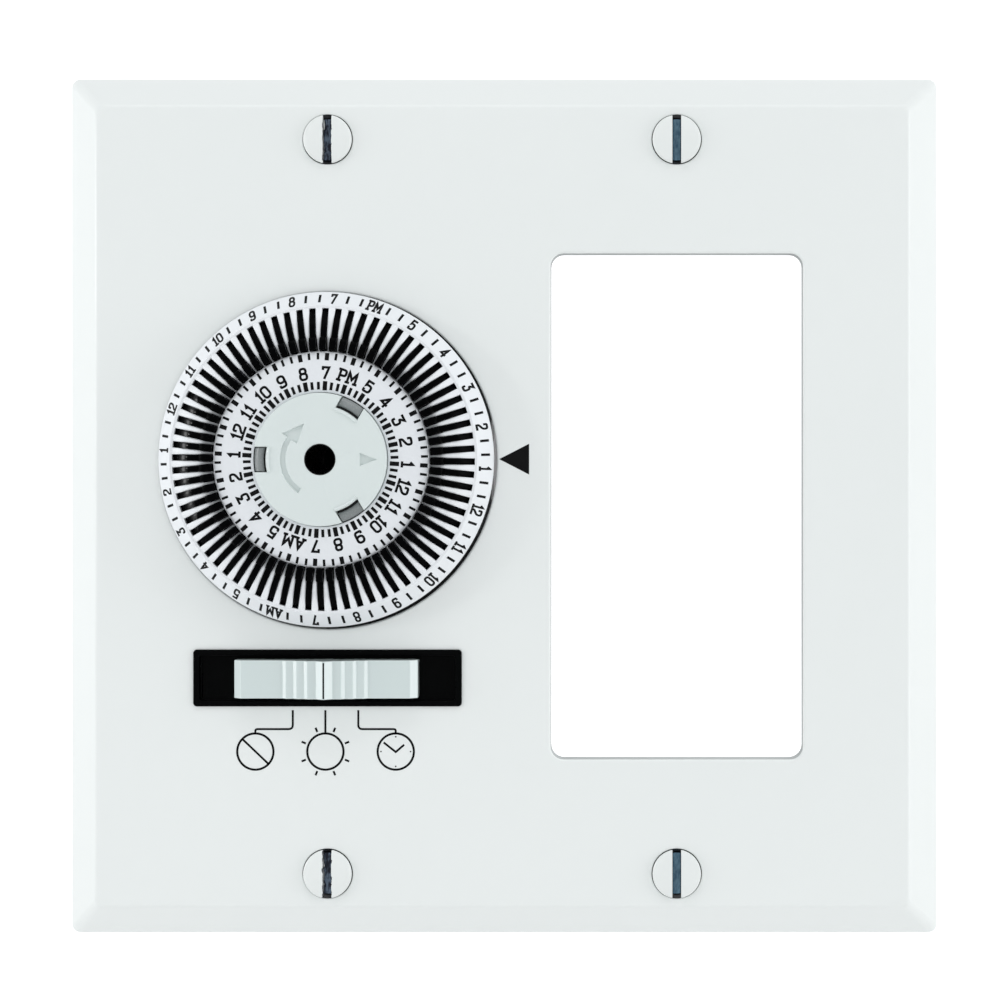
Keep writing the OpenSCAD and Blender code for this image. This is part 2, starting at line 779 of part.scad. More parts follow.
wall_plate();
plate_screws();
slide_bezel();
slide_knob();
slide_carriage();
detent_spring();
dial_carrier();
dial_face_ring();
dial_gear();
dial_spring();
hub_post();
hub_cap();
hub_screw();
mounting_strap();
ground_screw();
front_cover();
rear_case();
case_screws();
pillar_spacers();
movement_plate();
motor_cover();
motor_can();
motor_coil();
motor_rotor();
motor_pinion();
motor_screws();
reduction_wheel();
wheel_arbor();
contact_plunger();
contact_arm();
arm_pin();
fixed_contact();
switch_base();
return_spring();
terminal_plates();
terminal_screws();
tripper_hour(0);  // tripper_00
tripper_hour(1);  // tripper_01
tripper_hour(2);  // tripper_02
tripper_hour(3);  // tripper_03
tripper_hour(4);  // tripper_04
tripper_hour(5);  // tripper_05
tripper_hour(6);  // tripper_06
tripper_hour(7);  // tripper_07
tripper_hour(8);  // tripper_08
tripper_hour(9);  // tripper_09
tripper_hour(10);  // tripper_10
tripper_hour(11);  // tripper_11
tripper_hour(12);  // tripper_12
tripper_hour(13);  // tripper_13
tripper_hour(14);  // tripper_14
tripper_hour(15);  // tripper_15
tripper_hour(16);  // tripper_16
tripper_hour(17);  // tripper_17
tripper_hour(18);  // tripper_18
tripper_hour(19);  // tripper_19
tripper_hour(20);  // tripper_20
tripper_hour(21);  // tripper_21
tripper_hour(22);  // tripper_22
tripper_hour(23);  // tripper_23
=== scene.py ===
import json
import math
import bpy
import bmesh
from mathutils import Matrix, Vector


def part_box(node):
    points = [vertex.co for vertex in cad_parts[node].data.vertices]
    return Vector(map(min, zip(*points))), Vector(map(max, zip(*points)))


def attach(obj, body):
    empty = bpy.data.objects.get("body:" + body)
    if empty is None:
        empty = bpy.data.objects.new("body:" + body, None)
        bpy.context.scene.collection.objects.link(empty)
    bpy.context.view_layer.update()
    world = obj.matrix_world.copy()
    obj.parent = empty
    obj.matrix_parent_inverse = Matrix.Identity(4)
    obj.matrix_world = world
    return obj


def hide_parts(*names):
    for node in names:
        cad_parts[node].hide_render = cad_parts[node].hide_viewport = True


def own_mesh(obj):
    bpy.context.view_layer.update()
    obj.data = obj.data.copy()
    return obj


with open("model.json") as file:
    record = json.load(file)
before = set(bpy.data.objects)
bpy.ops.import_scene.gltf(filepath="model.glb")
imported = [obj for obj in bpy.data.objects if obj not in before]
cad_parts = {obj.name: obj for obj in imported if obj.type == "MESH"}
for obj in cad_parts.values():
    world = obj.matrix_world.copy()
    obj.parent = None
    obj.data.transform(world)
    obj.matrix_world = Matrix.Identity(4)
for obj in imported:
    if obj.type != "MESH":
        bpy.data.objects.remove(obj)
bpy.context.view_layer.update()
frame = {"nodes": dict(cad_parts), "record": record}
nodes = frame["nodes"]
mm = 0.001


# a front view in millimetres (x right, y up, z out of the wall) to metres in the shared frame
def place(x, y, z):
    return Vector((x * mm, -z * mm, y * mm))


def polar(r, degrees):
    a = math.radians(degrees)
    return r * math.cos(a), r * math.sin(a)


def levelAt(profile, r):  # level of a turned surface at a radius
    for (r0, z0), (r1, z1) in zip(profile, profile[1:]):
        if min(r0, r1) <= r <= max(r0, r1):
            return z0 + (z1 - z0) * (r - r0) / (r1 - r0)
    return profile[0][1] if abs(r - profile[0][0]) < abs(r - profile[-1][0]) else profile[-1][1]


# shader wiring

class Wire:
    def __init__(self, tree, socket=None):
        self.tree = tree
        self.socket = socket

    def node(self, kind, settings=None, sockets=None, out=0):
        made = self.tree.nodes.new(kind)
        for key, value in (settings or {}).items():
            setattr(made, key, value)
        for key, value in (sockets or {}).items():
            self.plug(made.inputs[key], value)
        return Wire(self.tree, made.outputs[out])

    def plug(self, socket, value):
        if isinstance(value, Wire):
            self.tree.links.new(value.socket, socket)
        else:
            socket.default_value = value

    def maths(self, operation, a, b=0.0):
        return self.node("ShaderNodeMath", {"operation": operation}, {0: a, 1: b})

    def __add__(self, other):
        return self.maths("ADD", self, other)

    def __sub__(self, other):
        return self.maths("SUBTRACT", self, other)

    def __rsub__(self, other):
        return self.maths("SUBTRACT", other, self)

    def __mul__(self, other):
        return self.maths("MULTIPLY", self, other)

    def __lt__(self, other):
        return self.maths("LESS_THAN", self, other)

    def __gt__(self, other):
        return self.maths("GREATER_THAN", self, other)

    def __abs__(self):
        return self.maths("ABSOLUTE", self)

    __radd__ = __add__
    __rmul__ = __mul__

    def clamp(self, low, high):
        return self.node("ShaderNodeClamp", {}, {0: self, 1: low, 2: high})

    def mixed(self, a, b):  # this value blends two colours
        return self.node("ShaderNodeMix", {"data_type": "RGBA"}, {0: self, 6: a, 7: b}, 2)


class Finish:
    def __init__(self, name):
        self.material = bpy.data.materials.new(name)
        self.material.use_nodes = True
        self.tree = self.material.node_tree
        self.shader = self.tree.nodes["Principled BSDF"]
        self.wire = Wire(self.tree)
        self.where = self.wire.node("ShaderNodeTexCoord", out=3)  # Object coordinates

    def noise(self, size, detail=2.0, stretch=(1, 1, 1)):  # size of a patch in millimetres
        at = self.where
        if stretch != (1, 1, 1):
            at = self.wire.node("ShaderNodeMapping", {}, {"Vector": at, "Scale": stretch})
        return self.wire.node("ShaderNodeTexNoise", {},
                              {"Vector": at, "Scale": 1000.0 / size, "Detail": detail})

    def cells(self, size):
        return self.wire.node("ShaderNodeTexVoronoi", {}, {"Vector": self.where, "Scale": 1000.0 / size})

    def axis(self, index):
        return self.wire.node("ShaderNodeSeparateXYZ", {}, {0: self.where}, index)

    def outSquared(self, x, y):  # squared distance from a line out of the wall
        dx, dz = self.axis(0) - x * mm, self.axis(2) - y * mm
        return dx * dx + dz * dz

    def fed(self, name):  # what already feeds a socket
        return Wire(self.tree, self.shader.inputs[name].links[0].from_socket)

    def bump(self, height, strength, distance):
        self.set(Normal=self.wire.node("ShaderNodeBump", {},
                                       {"Height": height, "Strength": strength, "Distance": distance}))

    def set(self, **sockets):
        for key, value in sockets.items():
            self.wire.plug(self.shader.inputs[key.replace("_", " ")], value)
        return self


def paintFinish(name, light, dark, peel=0.9, rough=0.34, coat=0.25):  # sprayed paint, faint orange peel
    made = Finish(name)
    drift = made.noise(38, 1.0)
    made.set(Base_Color=drift.mixed(light, dark), Coat_Weight=coat, Coat_Roughness=0.12,
             Roughness=made.noise(9, 3) * 0.08 + (rough - 0.04))
    made.bump(made.noise(peel, 2) * 0.7 + made.noise(0.25, 1) * 0.3, 0.06, 0.00012)
    return made


# moulded plastic with flow lines and grain
def mouldedFinish(name, light, dark, grain=0.35, rough=0.4, depth=0.05, coat=0.0, gloss=0.5):
    made = Finish(name)
    flow = made.noise(6, 3, (1, 1, 0.35))
    fine = made.noise(grain, 2)
    made.set(Base_Color=flow.mixed(light, dark), Roughness=fine * 0.18 + (rough - 0.09),
             Coat_Weight=coat, Specular_IOR_Level=gloss)
    made.bump(fine * 0.8 + flow * 0.2, depth, 0.00008)
    return made


def platedFinish(name, light, dark, rough=0.32, spangle=1.6, stretch=(1, 1, 1)):  # plated or rolled metal
    made = Finish(name)
    cell = made.cells(spangle)
    rub = made.noise(0.6, 4, stretch)
    made.set(Base_Color=(cell * 0.6 + rub * 0.5).clamp(0, 1).mixed(light, dark), Metallic=0.95,
             Roughness=rub * 0.25 + (rough - 0.1))
    made.bump(rub, 0.08, 0.00006)
    return made


def inkFinish():  # pad print, a little uneven
    made = Finish("printInk")
    made.set(Base_Color=made.noise(0.5, 2).mixed((0.0012, 0.0013, 0.0016, 1), (0.0035, 0.0036, 0.004, 1)),
             Roughness=made.noise(0.3, 2) * 0.2 + 0.42, Specular_IOR_Level=0.12)
    made.bump(made.noise(0.2, 1), 0.1, 0.00003)
    return made


def coilFinish():  # enamelled wire, wound round the motor's axis
    made = Finish("coilCopper")
    turns = made.wire.node("ShaderNodeTexWave", {"bands_direction": "Y"},
                           {"Vector": made.where, "Scale": 900.0, "Distortion": 0.6})
    made.set(Base_Color=turns.mixed((0.36, 0.13, 0.05, 1), (0.62, 0.27, 0.12, 1)), Metallic=0.8,
             Roughness=made.noise(0.8, 2) * 0.2 + 0.28)
    made.bump(turns, 0.5, 0.0001)
    return made


dialWhite = mouldedFinish("dialWhite", (0.85, 0.875, 0.895, 1), (0.82, 0.845, 0.87, 1), 0.3, 0.42, 0.03)
ringWhite = mouldedFinish("ringWhite", (0.79, 0.815, 0.84, 1), (0.76, 0.785, 0.81, 1), 0.3, 0.4, 0.03)
hubWhite = mouldedFinish("hubWhite", (0.705, 0.77, 0.757, 1), (0.685, 0.75, 0.737, 1),
                         0.28, 0.34, 0.04, 0.2)
knobWhite = mouldedFinish("knobWhite", (0.63, 0.712, 0.702, 1), (0.615, 0.697, 0.687, 1),
                          0.3, 0.38, 0.008, 1.0)
bezelBlack = mouldedFinish("bezelBlack", (0.0012, 0.0014, 0.0015, 1), (0.0006, 0.0008, 0.0009, 1),
                           0.25, 0.3, 0.06, 0.0, 0.035)
caseBlack = mouldedFinish("caseBlack", (0.030, 0.030, 0.031, 1), (0.018, 0.018, 0.020, 1), 0.5, 0.55, 0.25)
coverGrey = mouldedFinish("coverGrey", (0.17, 0.17, 0.175, 1), (0.12, 0.12, 0.125, 1), 0.45, 0.5, 0.15)
gearIvory = mouldedFinish("gearIvory", (0.72, 0.69, 0.58, 1), (0.64, 0.61, 0.50, 1), 0.3, 0.4, 0.05)
baseBrown = mouldedFinish("baseBrown", (0.12, 0.055, 0.028, 1), (0.075, 0.033, 0.018, 1), 0.5, 0.42, 0.15)
rotorDark = mouldedFinish("rotorDark", (0.050, 0.048, 0.047, 1), (0.032, 0.031, 0.031, 1), 0.4, 0.6, 0.2)
blackScrew = mouldedFinish("blackScrew", (0.004, 0.004, 0.004, 1), (0.002, 0.002, 0.002, 1),
                           0.4, 0.5, 0.1, 0.0, 0.1)
strapZinc = platedFinish("strapZinc", (0.62, 0.64, 0.66, 1), (0.47, 0.49, 0.52, 1), 0.36, 2.2)
turnedSteel = platedFinish("turnedSteel", (0.60, 0.60, 0.61, 1), (0.45, 0.45, 0.47, 1), 0.3, 0.9, (1, 6, 1))
stampedBrass = platedFinish("stampedBrass", (0.78, 0.60, 0.28, 1), (0.62, 0.44, 0.18, 1), 0.3, 1.2)
groundGreen = paintFinish("groundGreen", (0.030, 0.22, 0.060, 1), (0.018, 0.15, 0.040, 1), 0.5, 0.35)
printInk = inkFinish()
coilCopper = coilFinish()
print("common finishes ready")


# mesh helpers

def roundRect(cx, cy, w, h, r, steps=7):
    loop = []
    for turn, (sx, sy) in enumerate([(1, 1), (-1, 1), (-1, -1), (1, -1)]):
        for i in range(steps + 1):
            dx, dy = polar(r, turn * 90 + 90 * i / steps)
            loop.append((cx + sx * (w / 2 - r) + dx, cy + sy * (h / 2 - r) + dy))
    return loop


def arc(r, start, end, steps):  # spots along part of a circle
    return [polar(r, start + (end - start) * k / steps) for k in range(steps + 1)]


def circle(cx, cy, r, count=96):
    spots = (polar(r, 360 * i / count) for i in range(count))
    return [(cx + x, cy + y) for x, y in spots]


def bend(points, radius, steps=4):  # rounds the inner corners of a line
    out = [points[0]]
    for a, b, c in zip(points, points[1:], points[2:]):
        a, b, c = Vector(a), Vector(b), Vector(c)
        reach = min(radius, 0.49 * (a - b).length, 0.49 * (c - b).length)
        p, q = b + (a - b).normalized() * reach, b + (c - b).normalized() * reach
        for i in range(steps + 1):
            t = i / steps
            out.append(tuple(p * (1 - t) ** 2 + b * 2 * t * (1 - t) + q * t * t))
    return out + [points[-1]]


def inset(loop, d):  # moves a counterclockwise loop inwards by d, with mitred corners
    moved = []
    count = len(loop)
    for i in range(count):
        before, here, after = (Vector(loop[(i + k) % count]) for k in (-1, 0, 1))
        a = (here - before).normalized()
        b = (after - here).normalized()
        na, nb = Vector((-a.y, a.x)), Vector((-b.y, b.x))
        middle = (na + nb).normalized()
        moved.append(tuple(here + middle * (d / max(0.4, middle.dot(na)))))
    return moved


def ringVerts(bm, loop, z):
    return [bm.verts.new(place(x, y, z)) for x, y in loop]


def ladder(bm, rings, close=True):
    for low, high in zip(rings, rings[1:]):
        count = len(low)
        for i in range(count if close else count - 1):
            j = (i + 1) % count
            bm.faces.new((low[i], low[j], high[j], high[i]))


def tube(bm, rings):  # rings joined in a row, with both ends closed
    ladder(bm, rings)
    bm.faces.new(rings[0])
    bm.faces.new(rings[-1])


def fillBetween(bm, rings):  # flat fill with holes
    edges = []
    for ring in rings:
        for i in range(len(ring)):
            pair = (ring[i], ring[(i + 1) % len(ring)])
            edges.append(bm.edges.get(pair) or bm.edges.new(pair))
    bmesh.ops.triangle_fill(bm, edges=edges, use_beauty=True)


def lathe(bm, profile, cx, cy, count=128):  # closed profile of (radius, level)
    rings = [ringVerts(bm, circle(cx, cy, r, count), z) for r, z in profile]
    ladder(bm, rings + rings[:1])


# a flat moulding with rounded top edges, holes and sunk marks
def slab(bm, outer, holes, low, high, edge, pits=(), deep=0.0):
    curve = [(0.0, edge), (0.3, 0.45 * edge), (0.62, 0.14 * edge), (1.0, 0.0)]
    pitCurve = [(0.1, 0.0), (0.05, 0.016), (0.0, 0.09), (-0.04, deep)]
    tops, bottoms = [], []
    for loop, way in [(outer, 1)] + [(h, -1) for h in holes]:
        rings = [ringVerts(bm, loop, low)]
        for share, drop in curve:
            rings.append(ringVerts(bm, inset(loop, way * edge * share), high - drop))
        ladder(bm, rings)
        tops.append(rings[-1])
        bottoms.append(rings[0])
    for loop in pits:
        rings = [ringVerts(bm, inset(loop, -out), high - drop) for out, drop in pitCurve]
        ladder(bm, rings)
        tops.append(rings[0])
        fillBetween(bm, [rings[-1]])
    fillBetween(bm, tops)
    fillBetween(bm, bottoms)


def smooth(mesh, sharp=38):  # edges over this angle stay sharp
    mesh.shade_smooth()
    mesh.set_sharp_from_angle(angle=math.radians(sharp))


def meshObject(bm, name, material, sharp=38):
    mesh = bpy.data.meshes.new(name)
    bm.to_mesh(mesh)
    bm.free()
    mesh.materials.append(material)
    smooth(mesh, sharp)
    obj = bpy.data.objects.new(name, mesh)
    bpy.context.scene.collection.objects.link(obj)
    return obj


def toObject(bm, name, finish, sharp=38):
    bmesh.ops.recalc_face_normals(bm, faces=bm.faces)
    return meshObject(bm, name, finish.material, sharp)


def settle(obj):  # modifiers become plain mesh
    graph = bpy.context.evaluated_depsgraph_get()
    mesh = bpy.data.meshes.new_from_object(obj.evaluated_get(graph))
    obj.modifiers.clear()
    obj.data = mesh
    return obj


def soften(obj, width, segments=3, angle=35):
    bevel = obj.modifiers.new("edges", "BEVEL")
    bevel.width = width * mm
    bevel.segments = segments
    bevel.limit_method = "ANGLE"
    bevel.angle_limit = math.radians(angle)
    bevel.use_clamp_overlap = True
    settle(obj)
    smooth(obj.data)
    return obj


def dress(obj, body, slot, *replaced):
    weigh = obj.modifiers.new("normals", "WEIGHTED_NORMAL")  # flats stay flat beside rounded edges
    weigh.keep_sharp = True
    weigh.weight = 90
    settle(obj)
    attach(obj, body)
    if replaced:
        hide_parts(*replaced)
    return obj


def roundedCopy(node, name, finish, width, segments=2, angle=35):  # a CAD solid with its edges broken
    bm = bmesh.new()
    bm.from_mesh(nodes[node].data)
    bmesh.ops.remove_doubles(bm, verts=bm.verts, dist=0.002 * mm)
    bmesh.ops.dissolve_limit(bm, angle_limit=math.radians(0.4), verts=bm.verts, edges=bm.edges)
    return soften(toObject(bm, name, finish), width, segments, angle)


def joined(name, *parts):  # several plain pieces as one mesh
    bm = bmesh.new()
    for part in parts:
        bm.from_mesh(part.data)
    material = parts[0].data.materials[0]
    for part in parts:
        bpy.data.objects.remove(part)
    return meshObject(bm, name, material)


# geometry node trees

def startTree(name, inputs):  # a tree with named inputs, each with its kind of socket
    tree = bpy.data.node_groups.new(name, "GeometryNodeTree")
    for label, kind in inputs.items():
        tree.interface.new_socket(label, in_out="INPUT", socket_type="NodeSocket" + kind)
    tree.interface.new_socket("Copies", in_out="OUTPUT", socket_type="NodeSocketGeometry")
    return tree, tree.nodes.new("NodeGroupInput")


def endTree(tree, given, points, rotation=None):  # the shape on each point, made real, with its finish
    new, link = tree.nodes.new, tree.links.new
    instance = new("GeometryNodeInstanceOnPoints")
    real, paint = new("GeometryNodeRealizeInstances"), new("GeometryNodeSetMaterial")
    result = new("NodeGroupOutput")
    link(points, instance.inputs["Points"])
    link(given.outputs["Shape"], instance.inputs["Instance"])
    if rotation:
        link(rotation, instance.inputs["Rotation"])
    link(instance.outputs[0], real.inputs[0])
    link(real.outputs[0], paint.inputs["Geometry"])
    link(given.outputs["Finish"], paint.inputs["Material"])
    link(paint.outputs[0], result.inputs[0])
    return tree


def fanTree():  # copies a shape round the dial's axis
    tree, given = startTree("fanRoundDial", {"Shape": "Geometry", "Count": "Int", "First Angle": "Float",
                                             "Step Angle": "Float", "Centre": "Vector",
                                             "Finish": "Material"})
    new, link = tree.nodes.new, tree.links.new
    points, index = new("GeometryNodePoints"), new("GeometryNodeInputIndex")
    angle, turned, euler = new("ShaderNodeMath"), new("ShaderNodeMath"), new("ShaderNodeCombineXYZ")
    angle.operation = "MULTIPLY_ADD"
    turned.operation = "MULTIPLY"
    turned.inputs[1].default_value = -1.0  # counterclockwise from the front is a negative turn about +Y
    link(given.outputs["Count"], points.inputs["Count"])
    link(given.outputs["Centre"], points.inputs["Position"])
    link(index.outputs[0], angle.inputs[0])
    link(given.outputs["Step Angle"], angle.inputs[1])
    link(given.outputs["First Angle"], angle.inputs[2])
    link(angle.outputs[0], turned.inputs[0])
    link(turned.outputs[0], euler.inputs["Y"])
    return endTree(tree, given, points.outputs[0], euler.outputs[0])


def cornerTree():  # copies a shape to the four corners of a rectangle
    tree, given = startTree("fourCorners", {"Shape": "Geometry", "Pitch X": "Float", "Pitch Z": "Float",
                                            "Finish": "Material"})
    new, link = tree.nodes.new, tree.links.new
    grid, stand = new("GeometryNodeMeshGrid"), new("GeometryNodeTransform")
    grid.inputs["Vertices X"].default_value = grid.inputs["Vertices Y"].default_value = 2
    stand.inputs["Rotation"].default_value = (math.pi / 2, 0, 0)
    link(given.outputs["Pitch X"], grid.inputs["Size X"])
    link(given.outputs["Pitch Z"], grid.inputs["Size Y"])
    link(grid.outputs["Mesh"], stand.inputs["Geometry"])
    return endTree(tree, given, stand.outputs[0])


def grow(obj, tree, values):  # runs a tree on an object's mesh and keeps the plain result
    step = obj.modifiers.new("grow", "NODES")
    step.node_group = tree
    for item in tree.interface.items_tree:
        if item.item_type == "SOCKET" and item.in_out == "INPUT" and item.name in values:
            step[item.identifier] = values[item.name]
    settle(obj)
    smooth(obj.data)
    return obj


fanRound = fanTree()
fourCorners = cornerTree()


# wall plate

plate = {"width": 115.9, "height": 114.3, "front": 5.6, "sheet": 1.2, "slope": 4.3, "rim": 0.8,
         "corner": 1.2, "soft": 0.6, "edge": 0.34, "margin": 0.8,  # its rounded bends, the flat beside them
         "gangX": 23.02, "screwY": 48.42, "sinkRim": 3.6, "sink": 3.38, "sinkBack": 2.16, "sinkEdge": 0.05,
         "bare": 3.3,  # the countersinks are painted near-black inside this radius, painted shade for the gap round each screw head
         "openingW": 33.3, "openingH": 66.8, "openingR": 1.7, "returnD": 3.6, "paintIn": 0.28,
         "dialY": 6.2, "dialHole": 22.2, "dialSit": (0.1, -0.15),
         "slideY": -22.6, "slotW": 34.6, "slotH": 6.7, "slotR": 0.4}


def plateFinish(p):
    made = paintFinish("platePaint", (0.830, 0.860, 0.846, 1), (0.812, 0.843, 0.830, 1))
    x, z = made.axis(0), made.axis(2)
    dx, dz = abs(x) - p["gangX"] * mm, abs(z) - p["screwY"] * mm
    # painted shade: near-black inside the countersinks, and also on the plate's back round each hole
    deep = (dx * dx + dz * dz) < (p["bare"] * mm) ** 2
    # the opening's turned wall is matt and uncoated, and its grey is painted shade inside the opening
    beside = made.wire.maths("MAXIMUM", abs(x - p["gangX"] * mm) - p["openingW"] / 2 * mm,
                             abs(z) - p["openingH"] / 2 * mm)
    wall = (beside < 0.2 * mm) * (made.axis(1) > (p["paintIn"] - p["front"]) * mm)
    paint, gloss = made.fed("Base Color"), made.fed("Roughness")
    wallPaintedShade = wall.mixed(paint, (0.42, 0.44, 0.44, 1))
    made.set(Base_Color=deep.mixed(wallPaintedShade, (0.004, 0.005, 0.007, 1)), Roughness=gloss + wall * 0.5,
             Coat_Weight=(1.0 - wall) * 0.25)
    return made


def makePlate(p):
    bm = bmesh.new()
    front, under = p["front"], p["front"] - p["sheet"]
    slope, sheet = p["slope"], p["sheet"]
    skin = bend([(0.3, 0.0), (0.0, 0.0), (0.0, p["rim"]), (slope, front), (slope + p["margin"], front)],
                p["soft"])
    lining = [(sheet + slope, under), (sheet, p["rim"]), (sheet, 0.12), (sheet - 0.12, 0.0)]

    def outline(o, z):
        return ringVerts(bm, roundRect(0, 0, p["width"] - 2 * o, p["height"] - 2 * o, p["corner"]), z)

    def opening(o):
        w, h = p["openingW"] + 2 * o, p["openingH"] + 2 * o
        return roundRect(p["gangX"], 0, w, h, p["openingR"] + o)

    def dialHole(o):
        sitX, sitY = p["dialSit"]
        return circle(sitX - p["gangX"], sitY + p["dialY"], p["dialHole"] + o, 128)

    def slideSlot(o):
        w, h = p["slotW"] + 2 * o, p["slotH"] + 2 * o
        return roundRect(-p["gangX"], p["slideY"], w, h, p["slotR"] + o, 4)

    outer = [outline(o, z) for o, z in skin]
    inner = [outline(o, z) for o, z in lining]
    ladder(bm, outer)
    ladder(bm, inner)
    ladder(bm, [inner[-1], outer[0]])
    fronts, backs = [outer[-1]], [inner[0]]
    edge = bend([(p["margin"], front), (0.0, front), (0.0, under)], p["edge"])
    low = front - p["returnD"]  # the decorator opening has a wall turned inwards
    turned = bend([(p["margin"], front), (0.0, front), (0.0, low), (sheet, low), (sheet, under)], p["edge"])
    wells = [[(opening(o), z) for o, z in turned], [(dialHole(o), z) for o, z in edge],
             [(slideSlot(o), z) for o, z in edge]]
    sink = bend([(p["sinkRim"], front), (p["sink"], front), (p["sinkBack"], under)], p["sinkEdge"])
    for sx in (-1, 1):
        for sy in (-1, 1):
            wells.append([(circle(sx * p["gangX"], sy * p["screwY"], r, 48), z) for r, z in sink])
    for well in wells:
        rings = [ringVerts(bm, loop, z) for loop, z in well]
        ladder(bm, rings)
        fronts.append(rings[0])
        backs.append(rings[-1])
    fillBetween(bm, fronts)
    fillBetween(bm, backs)
    return dress(toObject(bm, "wallPlate", plateFinish(p), 50), "frame", "plate_paint", "wall_plate")


makePlate(plate)
print("wall plate made")


# plate screws

screw = {"head": 3.2, "rise": 1.0, "brim": 0.66, "crown": 0.22,  # the crown starts this far in from the rim
         "shank": 1.75, "length": 9.6, "thread": 0.7, "bareBelow": 4.3, "slotW": 1.14, "slotD": 0.42,
         "corner": 0.155}


def screwFinish(s):  # white paint on the head, bare metal in the slot, zinc on the shank
    made = Finish("screwPaint")
    across = abs(abs(made.axis(0)) - plate["gangX"] * mm)
    shank = made.axis(1) > -s["bareBelow"] * mm
    worn = made.axis(0) < 0.0  # the left pair has been turned often
    chips = made.noise(0.7, 4, (1, 1, 0.5))
    flecks = made.noise(0.32, 3, (1, 1, 0.4))
    half = s["slotW"] / 2 + 0.005
    slot = across < (half * mm + worn * (flecks - 0.5) * 0.0006)
    bare = made.wire.maths("MAXIMUM", slot, shank)
    paint = made.noise(5, 2).mixed((0.82, 0.85, 0.835, 1), (0.79, 0.82, 0.805, 1))
    clean = ((flecks - 0.35) * 3.0).clamp(0, 1).mixed((0.07, 0.16, 0.24, 1), (0.18, 0.34, 0.45, 1))
    scraped = ((flecks * 0.6 + chips * 0.4 - 0.44) * 7.0).clamp(0, 1)
    rough = scraped.mixed((0.002, 0.006, 0.02, 1), (0.13, 0.18, 0.25, 1))
    edge = ((across - (half - s["corner"]) * mm) * 7000.0).clamp(0, 1)  # painted shade: the slot's corners are darker
    steel = edge.mixed(worn.mixed(clean, rough), (0.008, 0.015, 0.03, 1))
    zinc = chips.mixed((0.62, 0.63, 0.65, 1), (0.42, 0.43, 0.45, 1))
    made.set(Base_Color=shank.mixed(bare.mixed(paint, steel), zinc), Metallic=bare * 0.3 + shank * 0.6,
             Roughness=bare * 0.12 + made.noise(2, 2) * 0.12 + 0.28)
    made.bump(chips * bare + made.noise(0.8, 2) * 0.1, 0.25, 0.00008)
    return made


def makeScrews(s):
    finish = screwFinish(s)
    bm = bmesh.new()
    f, head, shank = plate["front"], s["head"], s["shank"]
    brim, crownR = f + s["brim"], head - s["crown"]
    tip, point = f - s["length"], 0.0001
    profile = [(point, tip), (shank - 0.35, tip)]
    z = tip + 0.3
    while z < f - 2.6:  # thread as rings
        profile += [(shank - 0.3, z), (shank, z + s["thread"] / 2)]
        z += s["thread"]
    profile += [(shank - 0.25, z), (shank - 0.1, f - 1.45), (head - 0.14, f - 0.1), (head, f + 0.06),
                (head - 0.01, brim - 0.2), (head - 0.07, brim - 0.08), (crownR, brim)]
    for i in range(1, 8):  # the oval crown
        r = crownR * (1 - i / 7.0)
        profile.append((max(r, point), brim + (s["rise"] - s["brim"]) * (1 - (r / crownR) ** 2)))
    ladder(bm, [ringVerts(bm, circle(0, 0, r, 48), z) for r, z in profile])
    bmesh.ops.remove_doubles(bm, verts=bm.verts, dist=0.001 * mm)
    body = toObject(bm, "plateScrews", finish, 30)
    cut = bmesh.new()
    bmesh.ops.create_cube(cut, size=1.0)
    deep, high = f - s["slotD"], f + 3
    size = Matrix.Diagonal((s["slotW"] * mm, (high - deep) * mm, 8 * mm, 1))
    cut.transform(Matrix.Translation(place(0, 0, (deep + high) / 2)) @ size)
    tool = toObject(cut, "slotTool", finish)
    slot = body.modifiers.new("slot", "BOOLEAN")
    slot.object, slot.operation, slot.solver = tool, "DIFFERENCE", "EXACT"
    settle(body)
    bpy.data.objects.remove(tool)
    soften(body, 0.05, 2, 50)
    grow(body, fourCorners, {"Pitch X": 2 * plate["gangX"] * mm, "Pitch Z": 2 * plate["screwY"] * mm,
                             "Finish": finish.material})
    return dress(body, "frame", "screw_paint", "plate_screws")


makeScrews(screw)
print("plate screws made")


# dial: skirt, ribs and face ring

dial = {"x": -23.02, "y": 6.2, "set": -3.3, "hourAtSet": 13,  # the angle of one in the afternoon
        "count": 72, "back": 6.2, "seat": 10.4, "web": 9.4,
        "slotOut": 19.75, "slotT": 0.85, "headSlotT": 0.91, "faceIn": 8.88, "ringIn": 8.7, "faceR": 14.05,
        "rim": (22.0, 6.35), "boss": 12.6, "bossBack": -2.0, "bore": 5.05,
        "headRib": [(14.0, 11.0), (15.4, 11.38)],  # radius and level of a rib, beside the heads and outside
        "rib": [(16.2, 11.36), (17.0, 11.16), (18.2, 10.64), (19.2, 10.04), (19.78, 9.88)]}
ringProfile = [(8.7, 12.43), (8.82, 12.5), (9.6, 12.48), (11.0, 12.38), (12.2, 12.27), (13.0, 12.16),
               (13.6, 12.05), (13.9, 11.96), (14.02, 11.82), (14.05, 11.5)]
coneProfile = [(19.75, 9.86), (20.06, 9.9), (20.22, 9.78), (21.9, 7.46), (22.0, 7.22)]


def fanOut(obj, finish, count, first, step):  # copies a shape round the dial, angles in degrees
    return grow(obj, fanRound, {"Count": count, "First Angle": math.radians(first),
                                "Step Angle": math.radians(step), "Centre": place(dial["x"], dial["y"], 0),
                                "Finish": finish.material})


